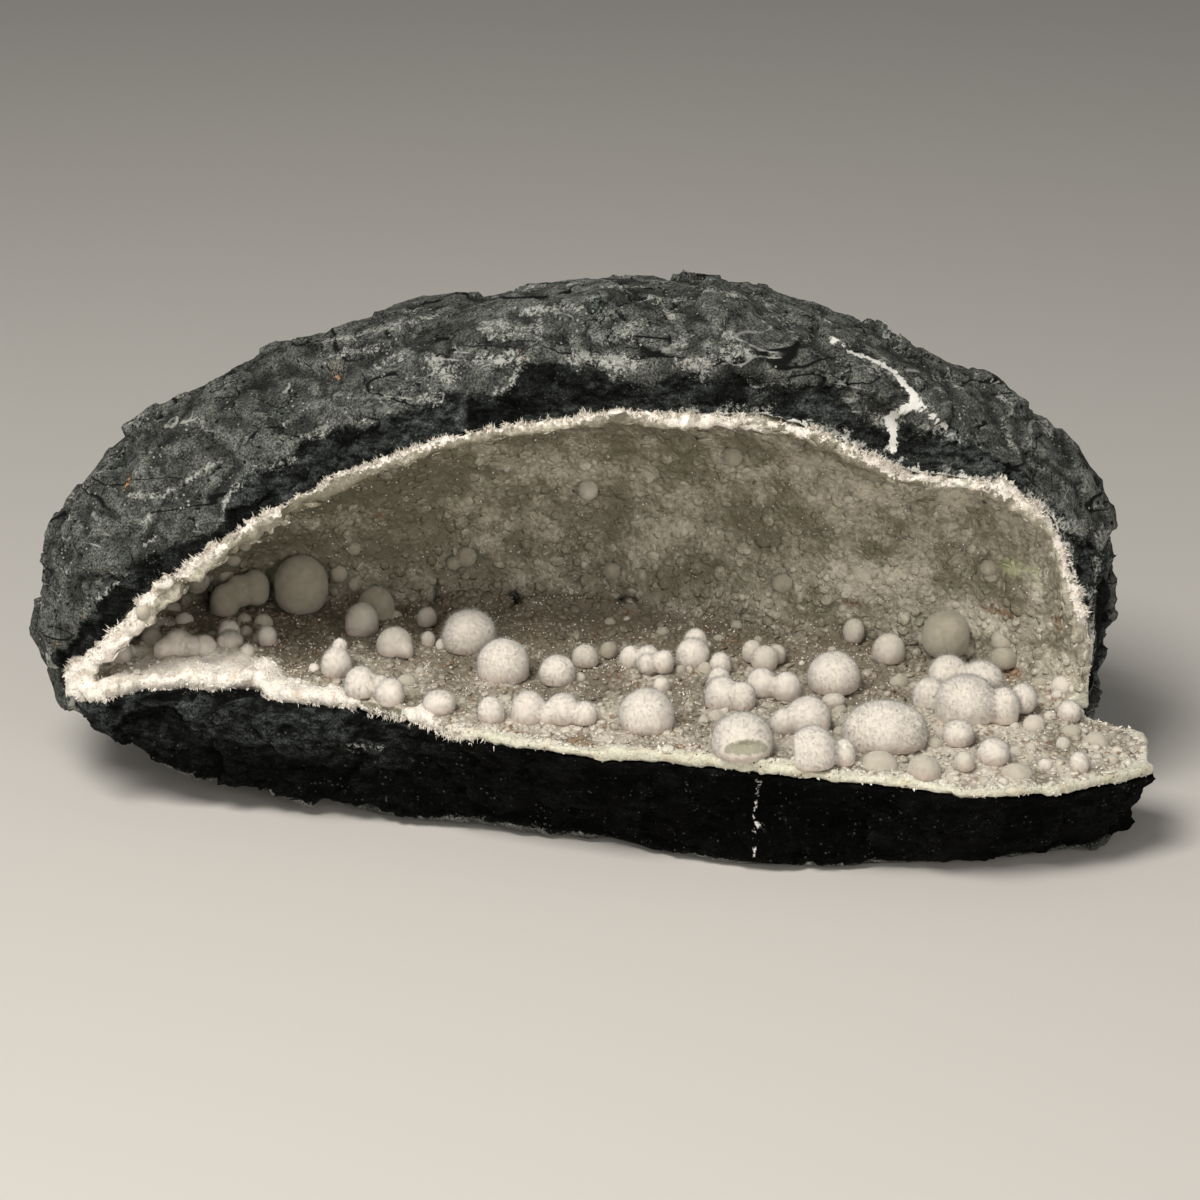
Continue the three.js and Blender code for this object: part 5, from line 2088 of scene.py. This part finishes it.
@dataclass
class Puffball:
    """Balls of okenite that have grown together.

    Attributes:
        name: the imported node's name.
        lobes: its balls.
        kind: what it looks like.
        notch: middle and half size of a block that is broken out, or None.
        grid: width of its faces, in millimetres.
    """

    name: str
    lobes: list[Lobe]
    kind: Kind = Kind.FLUFFY
    notch: tuple[np.ndarray, np.ndarray] | None = None
    grid: float = 0.68

    def sunk(self, places: np.ndarray) -> tuple[np.ndarray, np.ndarray]:
        """How deep each place lies in what is broken out.

        Args:
            places: points in the frame.

        Returns:
            How far below its curved side and how far above its flat bottom they lie.
        """
        if self.notch is None:
            return np.full(len(places), -1.0), np.full(len(places), -1.0)
        middle, half = self.notch
        low = middle[2] - half[2]
        away = (places - [middle[0], middle[1], low]) / (half * [1.0, 1.0, 2.0])
        return (1 - np.linalg.norm(away, axis=1)) * half.min(), places[:, 2] - low

    def broken(self, places: np.ndarray, spare: float) -> np.ndarray:
        """Whether each place lies in what is broken out, grown by spare."""
        side, up = self.sunk(places)
        return (side > -spare) & (up > -spare)

    def outward(self, places: np.ndarray) -> np.ndarray:
        """The direction of the fibres, away from the middle of the nearest ball.

        Args:
            places: points in the frame.

        Returns:
            One direction for each place.
        """
        nearest = np.stack([lobe.inside(places) for lobe in self.lobes]).argmin(axis=0)
        centres = np.array([lobe.centre for lobe in self.lobes])[nearest]
        half = np.array([lobe.half for lobe in self.lobes])[nearest]
        way = (places - centres) / half
        return way / np.maximum(np.linalg.norm(way, axis=1), 1e-6)[:, None]

    def carved(self, skin: Skin) -> Skin:
        """Takes out what is broken off.

        Args:
            skin: the whole balls.

        Returns:
            What is left of them.
        """
        skin = skin.remeshed(self.grid)
        middle, half = self.notch
        base = np.array([middle[0], middle[1], middle[2] - half[2]])
        side, up = self.sunk(skin.places)
        flat = (side > 0) & (up > 0) & (up <= side)
        curved = (side > 0) & (up > side)
        skin.places[flat, 2] = base[2]
        away = skin.places[curved] - base
        size = np.linalg.norm(away / (half * [1.0, 1.0, 2.0]), axis=1)[:, None]
        skin.places[curved] = base + away / np.maximum(size, 0.05)
        return skin.remeshed(self.grid)

    def heart(self) -> Skin:
        """The ball without its hairs: soft lumps, and bare where it is broken.

        Returns:
            The surface, with its marks.
        """
        coat = self.kind.value
        skin = Skin.joined([lobe.shell(0.25 * coat.hair) for lobe in self.lobes])
        skin = skin.remeshed(self.grid) if self.notch is None else self.carved(skin)
        cut = skin.evened(self.broken(skin.places, 0.4).astype(float), 1)
        skin.places = skin.evened(skin.places, 2, 0.5)
        if len(self.lobes) > 1:
            depths = np.sort(np.stack([lobe.inside(skin.places) for lobe in self.lobes]), axis=0)
            crease = 1 - eased(depths[1] - depths[0], 0.08, 0.4)
            skin.places = skin.evened(skin.places, 9, 0.8 * crease)
        lumps = 0.24 * relief(skin.places, 4.0, Salt.BALL)
        skin.places = skin.places + self.outward(skin.places) * lumps[:, None]
        skin.marks = self.marks(skin.places, coat.bright - 0.05, np.maximum(coat.stain, 0.8 * cut))
        return skin

    def marks(
        self, places: np.ndarray, bright: np.ndarray | float, stain: np.ndarray | float
    ) -> dict[str, np.ndarray]:
        """The marks that the finish reads.

        Args:
            places: points on the ball.
            bright: how white they show, from 0 to 1, lowered as painted shade for balls that lie in shade.
            stain: how grey-green they are, from 0 to 1.

        Returns:
            The marks, one number for each place.
        """
        foot = min(lobe.foot for lobe in self.lobes)
        low = np.zeros(len(places))
        if math.isfinite(foot):
            low = 0.6 * (1 - eased(places[:, 2] - foot, 1.0, 4.5))
        return {
            "bright": np.broadcast_to(bright, len(places)).astype(float),
            "stain": np.broadcast_to(stain, len(places)).astype(float),
            "low": low,
        }

    def hairs(self, heart: Skin, rng: np.random.Generator) -> Skin:
        """The hairs that stand on it.

        Args:
            heart: the ball without its hairs.
            rng: source of random numbers.

        Returns:
            The hairs in one mesh.
        """
        coat = self.kind.value
        foot = max(lobe.foot for lobe in self.lobes)
        bare = (heart.places[:, 2] < foot + 0.8) | self.broken(heart.places, 0.6)
        shown = heart.areas() * (1 - bare[heart.faces].mean(axis=1))
        points, _ = heart.sampled(int(coat.dense * shown.sum()), 1.0 - bare, rng)
        count = len(points)
        out = self.outward(points)
        way = out + 0.15 * rng.normal(size=points.shape)
        way /= np.linalg.norm(way, axis=1)[:, None]
        wide = rng.uniform(0.055, 0.09, count)
        long = coat.hair * (0.3 + 0.9 * rng.random(count) ** 1.2)
        marks = self.marks(points, coat.bright + rng.uniform(-0.06, 0.06, count), coat.stain)
        return combed(points - 0.15 * way, out, way, (wide, long), marks, rng)

    def built(self, seed: int, finish: bpy.types.Material) -> bpy.types.Object:
        """Builds the balls.

        Args:
            seed: start of the random draws.
            finish: their finish.

        Returns:
            The piece.
        """
        rng = np.random.default_rng(seed)
        heart = self.heart()
        heart.facing = heart.normals()
        ball = Skin.joined([heart, self.hairs(heart, rng)])
        return dressed(ball.piece(f"okenite_{self.name}"), finish, "okenite", f"puffball_{self.name}")


# Balls on the floor: x, y, width, height, and how much higher one sits that rests on others.
FLOOR_BALLS: dict[str, tuple[tuple[float, ...], ...]] = {
    "back_left_large": ((-103, 31, 19, 17.5, 5), (-101, 26, 8.5, 8.5, 4.5)),
    "back_left_worm": ((-129, 26, 10.5, 10.5, 1.2), (-124.5, 30, 10, 10, 4), (-119, 31, 10.5, 10.5, 5)),
    "left_back_round": ((-77, 25, 13, 12.5),),
    "left_round": ((-81, 9, 12, 12),),
    "left_double": ((-69, -10, 12.5, 10), (-65.5, -13, 7, 6.5)),
    "left_mid_back": ((-59, 16, 7.5, 7),),
    "left_mid_small": ((-58, -3, 5.5, 5.5),),
    "left_broad": ((-44, -4, 19, 15),),
    "left_bright": ((-32, -29, 18, 15),),
    "far_left_pair": ((-87, -30, 11, 10.5), (-86, -26, 6, 6, 5.5)),
    "far_left_cluster": ((-78, -48, 11.5, 11), (-72, -48, 9, 8), (-68, -53.5, 10, 9.5)),
    "front_left_flat": ((-52, -61, 11.5, 8),),
    "front_left_small": ((-35, -68, 9.5, 9),),
    "left_edge_cluster": ((-125, -2, 8, 7, 1.4), (-124, -8, 9.5, 6.5, -0.5)),
    "left_edge_small": ((-112, -5, 7.5, 7.5),),
    "left_edge_fuzzy": ((-141, -15, 12, 10.5), (-145, -17, 8.5, 8), (-136, -15, 8.5, 8)),
    "left_corner": ((-160, -17, 8.5, 7.5),),
    "centre_left": ((-14, -33, 12.5, 10.5),),
    "centre_flat": ((-5, -17, 9.5, 7.5),),
    "centre_dim": ((3, -9, 6.5, 5.5),),
    "centre_cluster": ((10, -20, 8, 8), (16, -22, 9, 9), (15.5, -27.5, 7, 6.5, 1.2), (21, -26, 8, 7.5, 1)),
    "centre_small": ((20, -43, 6.5, 6.5),),
    "centre_back": ((31, -18, 12, 10.5), (32, -10, 8.5, 8, 3)),
    "front_row": ((-23, -66, 12, 11.5), (-17.5, -68, 7, 6.5), (-12, -66, 11.5, 10.5), (-5, -69, 9, 8)),
    "front_centre": ((15, -71, 18.5, 14.5),),
    "centre_right_small": ((40, -24, 8, 7.5),),
    "centre_right_cluster": ((40, -51, 12.5, 11.5), (46, -52, 10, 10), (39, -44, 8, 7.5, 3.5)),
    "centre_right_pair": ((53, -42, 11, 10), (61, -45, 10, 10)),
    "centre_far_trio": ((55, -19, 9.5, 8.5), (51, -13.5, 7.5, 7.5, 0.7), (59, -14.5, 7, 6.5, 0.5)),
    "front_broken": ((45, -90, 20, 15),),
    "front_right_twin": ((67, -68, 15.5, 12), (59, -71, 9.5, 9)),
    "front_right_split": ((67, -95, 16.5, 15, -1), (77, -93, 8.5, 9.5)),
    "centre_flake": ((76, -50, 8.5, 5),),
    "right_large": ((77, -35, 18, 14),),
    "right_far_small": ((86, 4.2, 8, 8, 2),),
    "right_far": ((97, -10, 11.5, 10.5),),
    "right_far_large": ((116, -9, 16, 14, 5),),
    "right_cluster": (
        (119, -53, 21, 16.5),
        (131, -54, 11.5, 13),
        (138, -48, 10, 9, 2.2),
        (125, -41, 15, 11, 4),
        (114.5, -37.5, 14, 12, 3.5),
        (108, -46, 12, 11),
    ),
    "right_oval": ((91, -77, 28, 17),),
    "right_dim": ((135, -15, 9.5, 6.5, 1.8),),
    "right_dim_low": ((147, -24, 8.5, 6, 0.4),),
    "right_front": ((115, -73, 11, 8.5),),
    "right_front_low": ((125, -86, 11, 8.5),),
    "right_front_small": ((115, -93, 7.5, 6.5),),
    "front_right_grey": ((102, -98, 11.5, 9.5, -2),),
    "right_edge_flat": ((153, -51, 8.5, 7),),
    "right_edge_small": ((152, -88, 7, 7),),
}
# Balls on the wall and the roof: x, y, z, width, depth.
WALL_BALLS: dict[str, tuple[tuple[float, ...], ...]] = {
    "wall_middle": ((-4, 27.5, 90, 7.5, 7.5),),
    "wall_low": ((4, 32, 59, 6.5, 6.5),),
    "wall_left_pair": ((-46, 35.5, 63, 7.5, 7.5), (-50.5, 36, 60.5, 5.5, 5.5)),
    "wall_high_disc": ((44.5, 5.5, 109, 7.5, 5),),
    "wall_right_disc": ((62, 11, 62, 7.5, 5),),
    "wall_far_right": ((129, -12.5, 76, 6, 6),),
    "left_wall": ((-139, 30.5, 55.5, 7, 7),),
    "roof_left": ((-114, -30, 93, 6, 6),),
}
# The balls of the darkest kind, and some smooth ones, lie in shade: their lower brightness is partly painted
# shade.
KINDS: dict[Kind, tuple[str, ...]] = {
    Kind.SHAGGY: (
        "left_edge_fuzzy", "right_oval", "right_cluster", "front_broken", "front_right_split",
        "left_broad",
    ),
    Kind.SMOOTH: (
        "left_round", "left_double", "left_mid_small", "left_mid_back", "centre_flat", "right_far",
        "right_far_small", "centre_far_trio", "centre_flake", "right_front_small", "wall_middle",
    ),
    Kind.DULL_AND_SHADED: (
        "back_left_large", "back_left_worm", "left_back_round", "right_far_large", "centre_dim",
        "wall_low", "wall_left_pair", "wall_high_disc", "wall_right_disc", "wall_far_right",
        "left_wall", "roof_left", "right_dim", "right_dim_low",
    ),
    Kind.GREY: (
        "front_right_grey",
    ),
}  # fmt: skip
# The right oval is shallower than it is wide.
SHALLOW = {"right_oval": 0.72}
# Blocks broken out: middle x and y, height above the floor, and size.
NOTCHES = {
    "front_broken": ((46.5, -101, 5.6), (15, 15, 4.6)),
    "front_right_split": ((55, -95, 8), (13, 30, 30)),
}

# Small balls between the others, as they show in the view: across, down and width in pixels, and how white.
SMALL_BALLS: tuple[tuple[float, ...], ...] = (
    (184, 622, 18, 0.95), (246, 633, 14, 0.7), (245, 620, 17, 0.5), (264, 622, 18, 0.5),
    (213, 635, 11, 0.5), (314, 670, 13, 0.9), (196, 583, 25, 0.4), (226, 576, 19, 0.4), (233, 559, 17, 0.4),
    (245, 546, 14, 0.4), (173, 609, 17, 0.4), (142, 611, 15, 0.5), (339, 573, 21, 0.3), (353, 548, 17, 0.3),
    (355, 584, 15, 0.35), (395, 617, 16, 0.5), (419, 618, 10, 0.4), (442, 647, 16, 0.9),
    (579, 680, 14, 0.8), (420, 672, 11, 0.4), (407, 682, 19, 0.45), (610, 623, 14, 0.35),
    (627, 620, 9, 0.6), (625, 664, 18, 0.35), (680, 670, 13, 0.35), (707, 646, 9, 0.8), (706, 670, 18, 0.4),
    (758, 640, 10, 0.4), (802, 664, 7, 0.9), (716, 717, 18, 0.5), (704, 721, 13, 0.45),
    (839, 710, 18, 0.45), (736, 625, 13, 0.35), (719, 639, 12, 0.4), (663, 633, 15, 0.35),
    (832, 650, 10, 0.4), (776, 615, 11, 0.35), (899, 683, 20, 0.35), (922, 640, 15, 0.35),
    (967, 650, 15, 0.45), (1001, 642, 24, 0.4), (1061, 687, 20, 0.85), (1057, 697, 13, 0.8),
    (1097, 699, 22, 0.7), (1132, 723, 24, 0.5), (1071, 732, 20, 0.4), (1096, 743, 24, 0.45),
    (1045, 766, 13, 0.9), (1063, 746, 17, 0.65), (1016, 753, 17, 0.6), (1031, 748, 13, 0.5),
    (1034, 727, 22, 0.65), (1014, 726, 13, 0.6), (967, 759, 20, 0.6), (933, 745, 20, 0.45),
    (1017, 773, 33, 0.45), (880, 763, 38, 0.45), (840, 732, 16, 0.35), (1050, 716, 12, 0.6),
    (1112, 760, 14, 0.45), (1078, 712, 12, 0.5), (985, 782, 14, 0.5), (152, 640, 22, 0.8),
    (205, 650, 26, 0.85), (225, 646, 20, 0.8), (262, 640, 22, 0.6), (247, 652, 16, 0.8),
    (128, 652, 16, 0.7),
)  # fmt: skip


@dataclass
class SmallPuffballs:
    """Small balls of okenite, half grown into the crust between the large ones.

    Attributes:
        studio: gives the lines of sight.
        crust: search tree of the dressed crust.
        lift: height of a white ball's middle above the crust, as a share of its radius.
        low: the same for a dull one.
        hair: length of its hairs, in millimetres.
        dense: hairs on a square millimetre.
    """

    studio: Studio
    crust: BVHTree
    lift: float = 0.15
    low: float = -0.2
    hair: float = 0.6
    dense: float = 2.4

    def ball(self, row: Sequence[float], rng: np.random.Generator) -> list[Skin]:
        """One ball where a line of sight meets the crust.

        Args:
            row: its row of the table.
            rng: source of random numbers.

        Returns:
            The ball and its hairs, or nothing where the line misses.
        """
        across, down, width, white = row
        sight = self.studio.ray(across, down)
        place, out, _, far = self.crust.ray_cast(self.studio.eye().tolist(), sight.tolist())
        if place is None:
            return []
        radius = width * self.studio.pixel * far / self.studio.distance / 2
        lift = (self.lift if white > 0.6 else self.low) - 0.2 * (width > 28)
        centre = np.array(place) + lift * radius * np.array(out)
        heart = Lobe(centre, radius * rng.uniform(0.9, 1.1, 3)).shell(0.0, 3 if width > 22 else 2)
        way = (heart.places - centre) / radius
        lumps = 0.07 * radius * relief(heart.places, radius, Salt.SMALL_BALL)
        heart.places = heart.places + way * lumps[:, None]
        shown = (way @ np.array(out) > -0.3).astype(float)
        points, _ = heart.sampled(int(self.dense * 2 * math.pi * radius**2), shown, rng)
        lean = (points - centre) / radius + 0.15 * rng.normal(size=points.shape)
        lean /= np.linalg.norm(lean, axis=1)[:, None]
        wide = rng.uniform(0.05, 0.09, len(points))
        long = self.hair * rng.uniform(0.6, 1.1, len(points))
        heart.marks, heart.facing = self.marks(len(heart.places), white), heart.normals()
        marks = self.marks(len(points), white)
        return [heart, combed(points - 0.1 * lean, lean, lean, (wide, long), marks, rng)]

    def marks(self, count: int, white: float) -> dict[str, np.ndarray]:
        """The marks of a ball's points."""
        stain = 0.3 * (1 - white)
        return {"bright": np.full(count, white), "stain": np.full(count, stain), "low": np.zeros(count)}

    def built(self, seed: int, finish: bpy.types.Material) -> bpy.types.Object:
        """Builds the balls.

        Args:
            seed: start of the random draws.
            finish: their finish.

        Returns:
            The piece.
        """
        rng = np.random.default_rng(seed)
        parts = [part for row in SMALL_BALLS for part in self.ball(row, rng)]
        return dressed(Skin.joined(parts).piece("small_puffballs"), finish, "okenite")


@dataclass
class PuffballField:
    """All the puffballs of the hollow.

    Attributes:
        studio: gives the rock's own origin.
        crust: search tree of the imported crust.
        sunk: share of a ball's height that is grown into the crust.
        taller: how much further than that its round form goes on down.
        above: a height above the hollow's floor and below its wall balls, in millimetres.
        level: the floor's height where the crust isn't found.
    """

    studio: Studio
    crust: BVHTree
    sunk: float = 0.16
    taller: float = 1.22
    above: float = 52.0
    level: float = 41.0

    def ground(self, x: float, y: float) -> float:
        """Finds the crust's floor.

        Args:
            x: how far right of the rock's own origin.
            y: how far behind it.

        Returns:
            The floor's height there, in the frame.
        """
        start = self.studio.shift + (x, y, self.above)
        hit = self.crust.ray_cast(start.tolist(), (0.0, 0.0, -1.0))[0]
        return self.level if hit is None else hit[2]

    def floor_lobe(self, name: str, row: Sequence[float]) -> Lobe:
        """Places one ball on the floor.

        Args:
            name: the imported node's name.
            row: the ball's row of the table.

        Returns:
            The ball.
        """
        x, y, width, height = row[:4]
        lift = row[4] if len(row) > 4 else 0.0
        low = self.ground(x, y)
        tall = self.taller * height
        centre = self.studio.shift + (x, y, low + height * (1 - self.sunk) + lift - tall / 2)
        half = np.array([width, width * SHALLOW.get(name, 1.0), tall]) / 2
        return Lobe(centre, half, low - 1.0)

    def all(self) -> list[Puffball]:
        """Places all the puffballs.

        Returns:
            The puffballs, those on the floor first.
        """
        kinds = {name: kind for kind, names in KINDS.items() for name in names}
        balls = []
        for name, rows in FLOOR_BALLS.items():
            lobes = [self.floor_lobe(name, row) for row in rows]
            notch = None
            if name in NOTCHES:
                (x, y, up), size = NOTCHES[name]
                notch = (self.studio.shift + (x, y, self.ground(x, y) + up), np.array(size) / 2)
            balls.append(Puffball(name, lobes, kinds.get(name, Kind.FLUFFY), notch))
        for name, rows in WALL_BALLS.items():
            lobes = [Lobe(self.studio.shift + (x, y, z), np.array([w, d, w]) / 2) for x, y, z, w, d in rows]
            balls.append(Puffball(name, lobes, kinds.get(name, Kind.FLUFFY)))
        return balls


# ---- The scene ----

# A packed ball, and its x and y from the rock's own origin.
ORIGIN_BALL = ("puffball_left_back_round", -77.0, 25.0)


def rock_origin(node: bpy.types.Object) -> np.ndarray:
    """The rock's own origin in the frame, found from the top of a ball whose place is known."""
    top = max((v.co for v in node.data.vertices), key=lambda co: co.z)
    return np.array([top.x / MM - ORIGIN_BALL[1], top.y / MM - ORIGIN_BALL[2], 0.0])


def main() -> None:
    """Builds the scene, piece by piece."""
    logging.basicConfig(level=logging.INFO, format="%(name)s %(message)s")
    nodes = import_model()["nodes"]
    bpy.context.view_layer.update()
    studio = Studio(rock_origin(nodes[ORIGIN_BALL[0]]))
    studio.camera()
    studio.light()
    studio.floor()

    packed_crust = Skin.of(nodes["druzy_crust"].data)
    packed_rock = Skin.of(nodes["basalt_matrix"].data)
    BasaltMatrix(studio).built(packed_rock, packed_crust.tree())
    crust = DruzyCrust(studio)
    crust.built(packed_crust, packed_rock.tree())
    balls = PuffballField(studio, packed_crust.tree()).all()
    Druse(crust).built(balls)
    okenite = OkeniteFinish().made()
    for seed, ball in enumerate(balls):
        ball.built(seed, okenite)
    SmallPuffballs(studio, crust.skin.tree()).built(len(balls), okenite)


if __name__ == "__main__":
    main()
